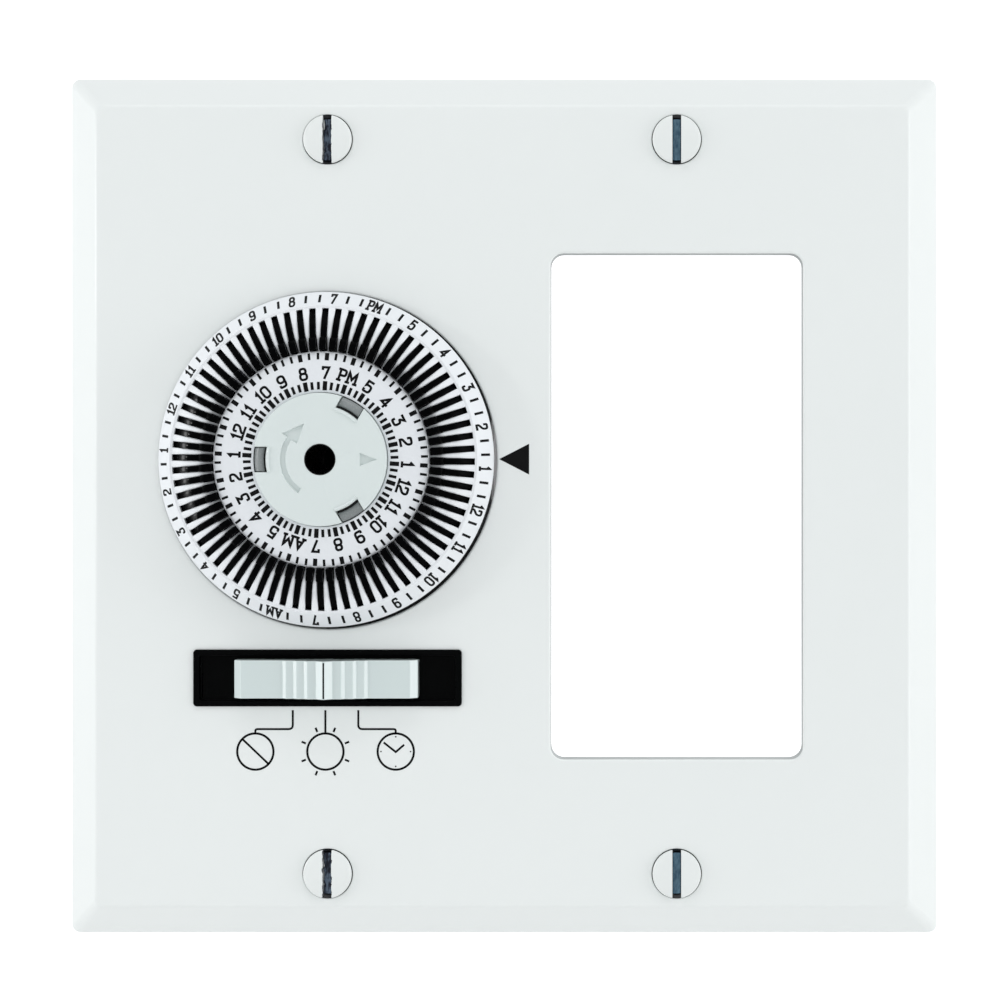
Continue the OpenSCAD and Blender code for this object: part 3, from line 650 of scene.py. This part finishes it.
def makeDial(d):
    back, seat, web, boss = d["back"], d["seat"], d["web"], d["boss"]
    bm = bmesh.new()
    cone = [(d["slotOut"], back), (d["slotOut"] - 0.04, 9.8)] + coneProfile
    lathe(bm, cone + [d["rim"], (d["rim"][0] - 0.1, back)], d["x"], d["y"], 180)
    core = [(d["bore"], d["bossBack"]), (boss, d["bossBack"]), (boss, back), (d["faceR"], back)]
    core += [(d["faceR"], seat), (d["faceIn"], seat), (d["faceIn"], web), (d["bore"], web)]
    lathe(bm, core, d["x"], d["y"], 128)
    skirt = toObject(bm, "dialSkirt", dialWhite)
    rib = bmesh.new()  # one rib between two slots, drawn about the dial's axis
    stations = [(r, top, d["headSlotT"]) for r, top in d["headRib"]]
    stations += [(r, top, d["slotT"]) for r, top in d["rib"]]
    rings = []
    for r, top, gap in stations:
        w = r * math.tan(math.radians(180 / d["count"])) - gap / 2
        section = [(-w, back), (w, back), (w, top - 0.1), (0.6 * w, top), (-0.6 * w, top), (-w, top - 0.1)]
        rings.append([rib.verts.new(place(r, y, z)) for y, z in section])
    tube(rib, rings)
    ribs = fanOut(toObject(rib, "dialRibs", dialWhite), dialWhite, d["count"], d["set"], 360 / d["count"])
    dress(joined("dialCarrier", skirt, ribs), "dial", "white_plastic", "dial_carrier")
    bm = bmesh.new()
    lathe(bm, [(d["ringIn"], seat)] + ringProfile + [(d["faceR"], seat)], d["x"], d["y"], 180)
    dress(toObject(bm, "dialFaceRing", ringWhite), "dial", "white_plastic", "dial_face_ring")


makeDial(dial)
print("dial made")


# trippers, three to an hour

tripper = {"thick": 0.74, "headW": 0.86, "foot": 7.0, "inner": 13.35, "headIn": 14.15, "headOut": 15.8,
           "outer": 19.6, "headLow": 10.9, "headTop": 12.6, "step": 10.2, "bridge": 11.6, "perHour": 3,
           "rub": (17.4, 18.8), "nightX": 16.2,  # fingers polish the arms of the night hours here
           "arm": [(19.3, 9.72), (18.9, 10.16), (18.5, 10.53), (18.15, 10.8), (17.8, 11.03), (17.45, 11.2),
                   (17.1, 11.32), (16.7, 11.42)]}


def tripperFinish(t):  # black moulding
    made = mouldedFinish("tripperBlack", (0.0012, 0.0013, 0.0015, 1), (0.0006, 0.0007, 0.0009, 1),
                         0.3, 0.3, 0.02, 0.0, 0.02)
    out = made.wire.maths("SQRT", made.outSquared(dial["x"], dial["y"]))
    low, high = t["rub"]
    middle, half = (low + high) / 2 * mm, (high - low) / 2 * mm
    night = made.axis(0) < (dial["x"] - t["nightX"]) * mm
    spot = (1.0 - abs(out - middle) * (1 / half)).clamp(0, 1) * night
    return made.set(Coat_Weight=spot * 0.9, Coat_Roughness=0.14)


def makeTrippers(t, d):
    finish = tripperFinish(t)
    step = 360 / d["count"]
    headIn, headOut, top = t["headIn"], t["headOut"], t["headTop"]
    side = [(t["inner"], t["foot"]), (t["outer"], t["foot"]), (t["outer"], 9.5)] + t["arm"]
    side += [(headOut - 0.2, t["bridge"]), (headIn + 0.05, t["bridge"]), (headIn + 0.05, t["step"])]
    side += [(t["inner"], t["step"])]
    head = [(headIn, t["headLow"]), (headOut, t["headLow"]), (headOut, top - 0.3), (headOut - 0.5, top)]
    head += [(headIn + 0.1, top - 0.02), (headIn, top - 0.14)]
    for hour in range(24):
        bm = bmesh.new()
        for outline, wide in ((side, t["thick"]), (head, t["headW"])):
            tube(bm, [[bm.verts.new(place(r, y, z)) for r, z in outline] for y in (-wide / 2, wide / 2)])
        one = soften(toObject(bm, f"tripperHour{hour:02d}", finish), 0.11, 2, 40)
        first = d["set"] + (t["perHour"] * (hour - d["hourAtSet"]) + 0.5) * step
        fanOut(one, finish, t["perHour"], first, step)
        dress(one, f"tripper_{hour:02d}", "black_plastic", f"tripper_{hour:02d}")


makeTrippers(tripper, dial)
print("trippers made")


# print: numerals drawn in strokes, ticks, pointer and the three signs

def loopBox(x0, y0, x1, y1, r):
    return roundRect((x0 + x1) / 2, (y0 + y1) / 2, x1 - x0, y1 - y0, r, 4)


def foot(x0, x1, y=0.0):  # a short level stroke
    return [(x0, y), (x1, y)]


# each sign: width, open lines, closed loops; height 1
glyphs = {
    "0": (0.60, [], [loopBox(0, 0, 0.60, 1, 0.24)]),
    "1": (0.44, [[(0.06, 0.80), (0.24, 1.0), (0.24, 0.0)], foot(0.04, 0.44)], []),
    "2": (0.58, [bend([(0.0, 0.74), (0.0, 1.0), (0.58, 1.0), (0.58, 0.58), (0.0, 0.22), (0.0, 0.0)], 0.24)
                 + [(0.58, 0.0)]], []),
    "3": (0.58, [[(0.02, 1.0)] + bend([(0.56, 1.0), (0.22, 0.58), (0.58, 0.58), (0.58, 0.0), (0.0, 0.0),
                                       (0.0, 0.22)], 0.22)], []),
    "4": (0.62, [[(0.46, 0.0), (0.46, 1.0), (0.0, 0.28), (0.62, 0.28)]], []),
    "5": (0.58, [[(0.54, 1.0), (0.06, 1.0)] + bend([(0.02, 0.52), (0.10, 0.62), (0.58, 0.62), (0.58, 0.0),
                                                    (0.0, 0.0), (0.0, 0.18)], 0.24)], []),
    "7": (0.56, [[(0.0, 0.82), (0.0, 1.0), (0.56, 1.0), (0.20, 0.0)]], []),
    "8": (0.60, [], [loopBox(0.04, 0.54, 0.56, 1, 0.2), loopBox(0, 0, 0.60, 0.54, 0.22)]),
    "9": (0.60, [bend([(0.60, 0.70), (0.60, 0.0), (0.04, 0.0), (0.03, 0.14)], 0.24)],
          [loopBox(0, 0.42, 0.60, 1, 0.24)]),
    "P": (0.60, [[(0.08, 0.0), (0.08, 1.0)],
                 bend([(0.08, 1.0), (0.62, 1.0), (0.62, 0.46), (0.08, 0.46)], 0.22),
                 foot(-0.06, 0.24), foot(-0.06, 0.10, 1.0)], []),
    "M": (0.92, [[(0.10, 0.0), (0.10, 1.0), (0.46, 0.34), (0.82, 1.0), (0.82, 0.0)], foot(-0.03, 0.24),
                 foot(0.68, 0.95)], []),
    "A": (0.84, [[(0.08, 0.0), (0.42, 1.0), (0.76, 0.0)], foot(0.20, 0.64, 0.33), foot(-0.05, 0.22),
                 foot(0.62, 0.89)], []),
}
inkDeep = 0.03  # a print is a thin closed shape, this much of it below its top


def dense(points, reach, close):  # extra points along a line, so that it follows a curved surface
    out = []
    for a, b in zip(points, points[1:] + points[:1] if close else points[1:]):
        a, b = Vector(a), Vector(b)
        count = max(1, math.ceil((b - a).length / reach))
        out += [tuple(a.lerp(b, k / count)) for k in range(count)]
    return out if close else out + [points[-1]]


def ribbon(bm, points, width, lay, close=False):  # a printed line; lay puts (u, v, lift) in the frame
    count = len(points)
    rows = []
    for i in range(count):
        here = Vector(points[i])
        before = Vector(points[i - 1]) if close or i else None
        after = Vector(points[(i + 1) % count]) if close or i < count - 1 else None
        a = (here - before).normalized() if before is not None else (after - here).normalized()
        b = (after - here).normalized() if after is not None else a
        na, nb = Vector((-a.y, a.x)), Vector((-b.y, b.x))
        middle = (na + nb).normalized() if (na + nb).length > 1e-6 else na
        side = middle * (width / 2 / max(0.45, middle.dot(na)))
        end = Vector((0, 0)) if close or 0 < i < count - 1 else (b if i else -a) * width * 0.35
        left, right = here + end + side, here + end - side
        corners = [(left, 0), (right, 0), (right, -inkDeep), (left, -inkDeep)]
        rows.append([bm.verts.new(lay(spot.x, spot.y, lift)) for spot, lift in corners])
    if close:
        ladder(bm, rows + rows[:1])
    else:
        tube(bm, rows)


def patch(bm, points, lay):  # a solid printed shape
    tube(bm, [[bm.verts.new(lay(x, y, lift)) for x, y in points] for lift in (-inkDeep, 0)])


def write(bm, text, height, stroke, lay, squeeze=1.0, gap=0.2):
    widths = [glyphs[c][0] * squeeze for c in text]
    left = -(sum(widths) + gap * (len(text) - 1)) / 2 * height
    for c, w in zip(text, widths):
        _, lines, loops = glyphs[c]
        for points, close in [(line, False) for line in lines] + [(loop, True) for loop in loops]:
            spots = [(left + x * squeeze * height, (y - 0.5) * height) for x, y in points]
            ribbon(bm, dense(spots, 0.3, close), stroke, lay, close)
        left += (w + gap) * height


dialPrint = {"lift": 0.02, "faceR": 11.22, "faceHigh": 1.42, "faceStroke": 0.31,
             "skirtR": 21.0, "skirtHigh": 1.22, "skirtStroke": 0.27, "skirtSqueeze": 0.84,
             "outerTick": (13.02, 13.9), "outerThick": 0.54, "outerThin": 0.32,
             "innerTick": (9.14, 9.94), "innerThick": 0.56, "innerThin": 0.37, "short": 0.03,
             "skirtTick": (20.62, 21.46), "skirtThin": 0.33}


def onRing(x0, y0, profile, lift):  # puts a spot at (tangent, radius) for an angle on a turned surface
    def at(angle, r0):
        def lay(u, v, up):
            a = math.radians(angle)
            r = r0 + v
            x, y = r * math.cos(a) + u * math.sin(a), r * math.sin(a) - u * math.cos(a)
            return place(x0 + x, y0 + y, levelAt(profile, math.hypot(x, y)) + lift + up)
        return lay
    return at


def tickFan(name, profile, r0, r1, width, first):  # one tick, then the tree copies it to every hour
    bm = bmesh.new()
    lay = onRing(0, 0, profile, dialPrint["lift"])(0, 0)
    ribbon(bm, [(0, r0 + (r1 - r0) * i / 8) for i in range(9)], width, lay)
    return fanOut(toObject(bm, name, printInk), printInk, 24, first, 15)


def makeDialPrint(p, d):
    bm = bmesh.new()
    face = onRing(d["x"], d["y"], ringProfile, p["lift"])
    skirt = onRing(d["x"], d["y"], coneProfile, p["lift"])
    for hour in range(24):
        text = {6: "AM", 18: "PM"}.get(hour, str((hour - 1) % 12 + 1))
        angle = d["set"] + 15 * (hour - d["hourAtSet"])
        write(bm, text, p["faceHigh"], p["faceStroke"], face(angle, p["faceR"]))
        write(bm, text, p["skirtHigh"], p["skirtStroke"], skirt(angle, p["skirtR"]), p["skirtSqueeze"])
    parts = [toObject(bm, "dialNumbers", printInk)]
    for name in ("outer", "inner"):
        r0, r1 = p[name + "Tick"]
        parts.append(tickFan(name + "Hours", ringProfile, r0, r1, p[name + "Thick"], d["set"]))
        r0, r1 = r0 + p["short"], r1 - p["short"]
        for third in (5, 10):
            at = d["set"] + third
            parts.append(tickFan(f"{name}Thirds{third}", ringProfile, r0, r1, p[name + "Thin"], at))
    for third in (5, 10):
        at = d["set"] + third
        parts.append(tickFan(f"skirt{third}", coneProfile, *p["skirtTick"], p["skirtThin"], at))
    return dress(joined("dialPrint", *parts), "dial", "black_plastic")


makeDialPrint(dialPrint, dial)

signs = {"lift": 0.02, "line": 0.265, "top": -26.95, "turn": -29.36, "bend": 0.55, "radius": 2.39,
         "y": -32.32, "offX": -32.56, "onX": -23.32, "autoX": -14.04, "leads": (-27.62, -23.32, -18.98),
         "rays": (2.88, 3.3), "slash": [(-1.72, 1.66), (1.72, -1.62)],
         "hands": [(-1.52, 1.14), (0, -0.06), (1.04, 0.84)], "dotR": 0.1, "dotOut": 1.95,
         "pointer": [(-0.4, 6.25), (3.55, 4.22), (3.55, 8.28)]}


def makeSigns(s):
    bm = bmesh.new()
    y, top, turn = s["y"], s["y"] + s["radius"], s["turn"]

    def lay(u, v, up):
        return place(u, v, plate["front"] + s["lift"] + up)

    def line(points, x=0.0, y=0.0):
        ribbon(bm, [(x + u, y + v) for u, v in points], s["line"], lay)

    patch(bm, s["pointer"], lay)
    left, middle, right = s["leads"]
    line(bend([(left, s["top"]), (left, turn), (s["offX"], turn), (s["offX"], top)], s["bend"]))
    line([(middle, s["top"]), (s["onX"], top)])
    line(bend([(right, s["top"]), (right, turn), (s["autoX"], turn), (s["autoX"], top)], s["bend"]))
    for x in (s["offX"], s["onX"], s["autoX"]):
        ribbon(bm, circle(x, y, s["radius"], 56), s["line"] + 0.02, lay, True)
    line(s["slash"], s["offX"], y)
    for i in range(8):
        line([polar(r, 22.5 + 45 * i) for r in s["rays"]], s["onX"], y)
    line(s["hands"], s["autoX"], y)
    for i in range(4):
        dotX, dotY = polar(s["dotOut"], 90 * i)
        patch(bm, circle(s["autoX"] + dotX, y + dotY, s["dotR"], 10), lay)
    return dress(toObject(bm, "platePrint", printInk), "frame", "black_plastic")


makeSigns(signs)
print("print made")


# hub: cap, latches and post

hub = {"r": 8.62, "low": 11.2, "top": 13.4, "hole": 2.02, "bore": 1.93, "sleeveLow": 9.8, "edge": 0.14,
       "notchW": 3.26, "notchIn": 7.0, "latches": (60, 180, 300),
       "lip": (6.52, 6.9), "lipHigh": 0.2, "lipEdge": 0.17,
       "sunk": 0.42, "arcIn": 4.44, "arcOut": 5.14, "arc": (146, 237),
       "head": ((5.9, 145), (5.05, 114), (3.6, 145)), "pointer": [(5.15, -0.82), (7.3, 0.0), (5.15, 0.82)],
       "paintedShadeR": 7.3, "latchHalf": 1.5,  # painted shade: the post is near-black inside this radius, in the hole and the windows' inner gaps
       "latch": [(7.32, 11.6), (7.32, 12.62), (7.44, 12.86), (7.7, 12.98), (8.1, 12.9), (8.4, 12.66),
                 (8.56, 12.36), (8.56, 11.6)]}


def latchFinish(h):  # grey moulding, painted near-black as shade inside the latches' heels
    made = mouldedFinish("latchGrey", (0.29, 0.31, 0.31, 1), (0.17, 0.19, 0.19, 1), 0.3, 0.26, 0.05)
    # painted shade: near-black inside the heels
    inside = made.outSquared(dial["x"], dial["y"]) < (h["paintedShadeR"] * mm) ** 2
    return made.set(Base_Color=inside.mixed(made.fed("Base Color"), (0.002, 0.002, 0.002, 1)))


def makeHub(h):
    cx, cy, top = dial["x"], dial["y"], h["top"]

    def here(loop):
        return [(cx + x, cy + y) for x, y in loop]

    wide = math.degrees(math.asin(h["notchW"] / 2 / h["r"]))
    deep = math.degrees(math.asin(h["notchW"] / 2 / h["notchIn"]))
    outer = []
    for a in h["latches"]:
        outer += arc(h["notchIn"], a - deep, a + deep, 10)
        outer += arc(h["r"], a + wide, a + 120 - wide, 48)
    start, end = h["arc"]
    arrow = arc(h["arcIn"], start, end, 24) + arc(h["arcOut"], end, start, 24)
    arrow += [polar(*spot) for spot in h["head"]]
    arrow.reverse()
    marks = [here(arrow), here(h["pointer"])]
    bm = bmesh.new()
    slab(bm, here(outer), [circle(cx, cy, h["hole"], 64)], h["low"], top, h["edge"], marks, h["sunk"])
    lipIn, lipOut = h["lip"]
    for a in h["latches"]:
        start, end = a - deep - 0.8, a + deep + 0.8
        lip = here(arc(lipOut, start, end, 10) + arc(lipIn, end, start, 10))
        slab(bm, lip, [], top - 0.1, top + h["lipHigh"], h["lipEdge"])
    dress(toObject(bm, "hubCap", hubWhite, 40), "frame", "hub_plastic", "hub_cap")
    grey = latchFinish(h)
    latch = bmesh.new()  # a latch's rounded top, drawn about the dial's axis
    rows = []
    for r, z in h["latch"]:
        half = math.degrees(math.asin(h["latchHalf"] / r))
        rows.append(ringVerts(latch, arc(r, -half, half, 8), z))
    ladder(latch, rows + rows[:1], False)
    latch.faces.new([row[0] for row in rows])
    latch.faces.new([row[-1] for row in rows])
    tops = fanOut(toObject(latch, "latchTops", grey), grey, len(h["latches"]), h["latches"][0], 120)
    sleeve = bmesh.new()
    low, high, out = h["sleeveLow"], top - 0.12, h["hole"] - 0.01
    lathe(sleeve, [(h["bore"], low), (out, low), (out, high), (h["bore"], high)], cx, cy, 64)
    post = roundedCopy("hub_post", "hubBody", grey, 0.1)
    whole = joined("hubPost", post, tops, toObject(sleeve, "hubSleeve", grey))
    dress(whole, "frame", "grey_plastic", "hub_post")


makeHub(hub)
print("hub made")


# slide switch

slide = {"x": -23.02, "y": -22.6, "width": 24.1, "high": 5.0, "low": 5.3, "flat": 8.0, "crest": 9.95,
         "steps": 3, "step": 5.6, "pitch": 1.455, "lean": 0.5, "rise": 0.4, "roof": 1.1,
         "chamfer": (1.0, 0.8), "stemW": 3.6, "stemH": 2.0, "stemR": 0.2, "stemBack": 1.1,
         "line": 0.21, "lineLift": 0.012}


def makeSlide(s):
    bm = bmesh.new()
    rise, half, flat = s["rise"], s["width"] / 2, s["flat"]
    acrossCut, downCut = s["chamfer"]
    side = [(half, s["low"]), (half, flat - downCut), (half - acrossCut, flat)]
    for i in range(s["steps"]):
        x, z = s["step"] - i * s["pitch"], flat + rise * i - 0.03
        side += [(x, z), (x - s["lean"], z + rise)]
    side += [(s["roof"], flat + rise * s["steps"] - 0.05), (0.1, s["crest"])]
    outline = [(s["x"] + x, z) for x, z in side] + [(s["x"] - x, z) for x, z in reversed(side)]
    ends = (s["y"] - s["high"] / 2, s["y"] + s["high"] / 2)
    tube(bm, [[bm.verts.new(place(x, y, z)) for x, z in outline] for y in ends])
    knob = soften(toObject(bm, "slideKnob", knobWhite), 0.12, 3, 20)
    stalk = bmesh.new()
    stem = roundRect(s["x"], s["y"], s["stemW"], s["stemH"], s["stemR"], 3)
    slab(stalk, stem, [], s["stemBack"], s["low"] + 0.3, 0.1)
    whole = joined("slideKnob", knob, toObject(stalk, "knobStem", knobWhite))
    dress(whole, "knob", "white_plastic", "slide_knob")

    def lay(u, v, up):
        return place(s["x"] + u, s["y"] + v, s["crest"] + s["lineLift"] + up)

    mark = bmesh.new()
    ribbon(mark, [(0, -s["high"] / 2 + 0.2), (0, s["high"] / 2 - 0.25)], s["line"], lay)
    dress(toObject(mark, "knobLine", printInk), "knob", "black_plastic")
    bezel = roundedCopy("slide_bezel", "slideBezel", bezelBlack, 0.24, 4)
    dress(bezel, "frame", "black_plastic", "slide_bezel")


makeSlide(slide)
print("slide switch made")


# case, strap and terminals, with their edges broken

softened = {"mounting_strap": ("mountingStrap", strapZinc, 0.16, "steel"),
            "rear_case": ("rearCase", caseBlack, 0.4, "case_plastic"),
            # the front cover takes the case's black, which also stands as painted shade in the gap round
            # the dial
            "front_cover": ("frontCover", caseBlack, 0.25, "grey_plastic"),
            "terminal_plates": ("terminalPlates", stampedBrass, 0.12, "brass"),
            "terminal_screws": ("terminalScrews", turnedSteel, 0.16, "steel"),
            "ground_screw": ("groundScrew", groundGreen, 0.2, "green_paint")}
for node, (name, finish, width, slotName) in softened.items():
    dress(roundedCopy(node, name, finish, width), "frame", slotName, node)


# what is inside the case

inside = {turnedSteel: ["detent_spring", "dial_spring", "case_screws", "pillar_spacers", "motor_screws",
                        "wheel_arbor", "arm_pin"],
          strapZinc: ["movement_plate", "motor_cover", "motor_can"],
          stampedBrass: ["motor_pinion", "contact_arm", "fixed_contact"],
          gearIvory: ["dial_gear", "reduction_wheel"], coverGrey: ["slide_carriage"],
          blackScrew: ["hub_screw"], coilCopper: ["motor_coil"], rotorDark: ["motor_rotor"],
          knobWhite: ["contact_plunger"], baseBrown: ["switch_base"]}
for finish, names in inside.items():
    for node in names:
        mesh = nodes[node].data
        mesh.materials.clear()
        mesh.materials.append(finish.material)

returnSpring = {"turns": 5, "coil": 1.6, "wire": 0.3, "steps": 24, "sides": 10, "spare": 0.02}


def makeReturnSpring(s):  # a coil filling the return spring's box; how much of it would stay as the contact arm swings is worked out but not used
    low, high = (Vector(corner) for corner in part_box("return_spring"))
    middle = (low + high) / 2
    wire, count = s["wire"] * mm, s["turns"] * s["steps"]
    bm = bmesh.new()
    rings = []
    for i in range(count + 1):
        across, up = polar(1.0, 360 * i / s["steps"])
        deep = high.y - wire + (low.y - high.y + 2 * wire) * i / count
        ring = []
        for k in range(s["sides"]):
            out, along = polar(wire, 360 * k / s["sides"])
            r = s["coil"] * mm + out
            ring.append(bm.verts.new((middle.x + r * across, deep + along, middle.z + r * up)))
        rings.append(ring)
    tube(bm, rings)
    spring = dress(toObject(bm, "returnSpring", turnedSteel), "frame", "steel", "return_spring")
    hinge = next(j for j in frame["record"]["behaviour"]["joints"] if j["name"] == "arm_swing")
    reach = abs(middle.z - hinge["pos_m"][2]) + (s["coil"] + s["wire"]) * mm
    travel = reach * math.tan(math.radians(hinge["range_deg"][1]))
    keep = 1 - travel / (high.y - low.y) - s["spare"]
    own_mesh(spring)


makeReturnSpring(returnSpring)
print("case and movement dressed")


# studio: metres for the stage and the lamps, millimetres for the camera

studio = {"world": 0.716, "floor": -0.15, "halfWidth": 6.0, "floorFront": -3.0, "curveStart": 0.9,
          "curveR": 0.5, "wallTop": 3.0, "glow": 0.5,  # the backdrop's own light
          "lamps": {"leftSoftbox": ((-0.66, -0.14, 0.03), (0.16, 0.42), 0.62),  # place, size, power
                    "leftKey": ((-0.5, -0.27, 0.08), (0.06, 0.06), 0.3),
                    "rightSoftbox": ((0.66, -0.22, 0.03), (0.25, 0.6), 1.42),
                    "topFill": ((0.0, -0.35, 0.8), (0.8, 0.3), 1.5),
                    "backFill": ((0.2, 0.8, 0.5), (0.8, 0.8), 2.2)},
          "axisX": 19.5, "axisZ": 6.2, "distance": 322.0, "frameWidth": 131.9,
          "centreX": -0.29, "centreZ": 0.86, "sensor": 36.0}


def makeSweep(s):  # a pale floor that curves up into a lit wall behind the object
    bm = bmesh.new()
    start, r = s["curveStart"], s["curveR"]
    path = [(s["floorFront"], 0.0), (start, 0.0)]
    path += [(start + y, r - z) for z, y in (polar(r, a) for a in range(10, 91, 10))]
    path += [(start + r, s["wallTop"])]
    ladder(bm, [[bm.verts.new((x, y, s["floor"] + z)) for x in (-s["halfWidth"], s["halfWidth"])]
                for y, z in path], False)
    pale = Finish("paleSweep")
    far = ((pale.axis(1) - 0.2) * 3.0).clamp(0, 1)  # the lit part starts behind the object
    pale.set(Base_Color=pale.noise(400, 1).mixed((0.84, 0.84, 0.84, 1), (0.82, 0.82, 0.82, 1)),
             Roughness=0.8, Emission_Color=far.mixed((0, 0, 0, 1), (1, 1, 1, 1)),
             Emission_Strength=s["glow"])
    toObject(bm, "sweep", pale)


def makeStudio(s):
    scene = bpy.context.scene
    scene.view_settings.view_transform = "Standard"
    scene.view_settings.look = "None"
    world = bpy.data.worlds.new("studioWorld")
    scene.world = world
    world.use_nodes = True
    back = world.node_tree.nodes["Background"]
    back.inputs["Color"].default_value = (0.96, 0.98, 1.0, 1)
    back.inputs["Strength"].default_value = s["world"]
    makeSweep(s)
    for name, (at, size, power) in s["lamps"].items():
        lamp = bpy.data.lights.new(name, "AREA")
        lamp.shape = "RECTANGLE"
        lamp.size, lamp.size_y = size
        lamp.energy = power
        obj = bpy.data.objects.new(name, lamp)
        obj.location = at
        obj.rotation_euler = (-Vector(at)).to_track_quat("-Z", "Y").to_euler()  # aimed at the origin
        scene.collection.objects.link(obj)
    camera = bpy.data.cameras.new("camera")
    camera.sensor_width = s["sensor"]
    camera.lens = s["sensor"] * s["distance"] / s["frameWidth"]
    camera.shift_x = (s["centreX"] - s["axisX"]) / s["frameWidth"]
    camera.shift_y = (s["centreZ"] - s["axisZ"]) / s["frameWidth"]
    camera.clip_start, camera.clip_end = 0.01, 50
    obj = bpy.data.objects.new("camera", camera)
    obj.location = place(s["axisX"], s["axisZ"], plate["front"] + s["distance"])
    obj.rotation_euler = (math.pi / 2, 0, 0)
    scene.collection.objects.link(obj)
    scene.camera = obj


makeStudio(studio)
print("studio ready")
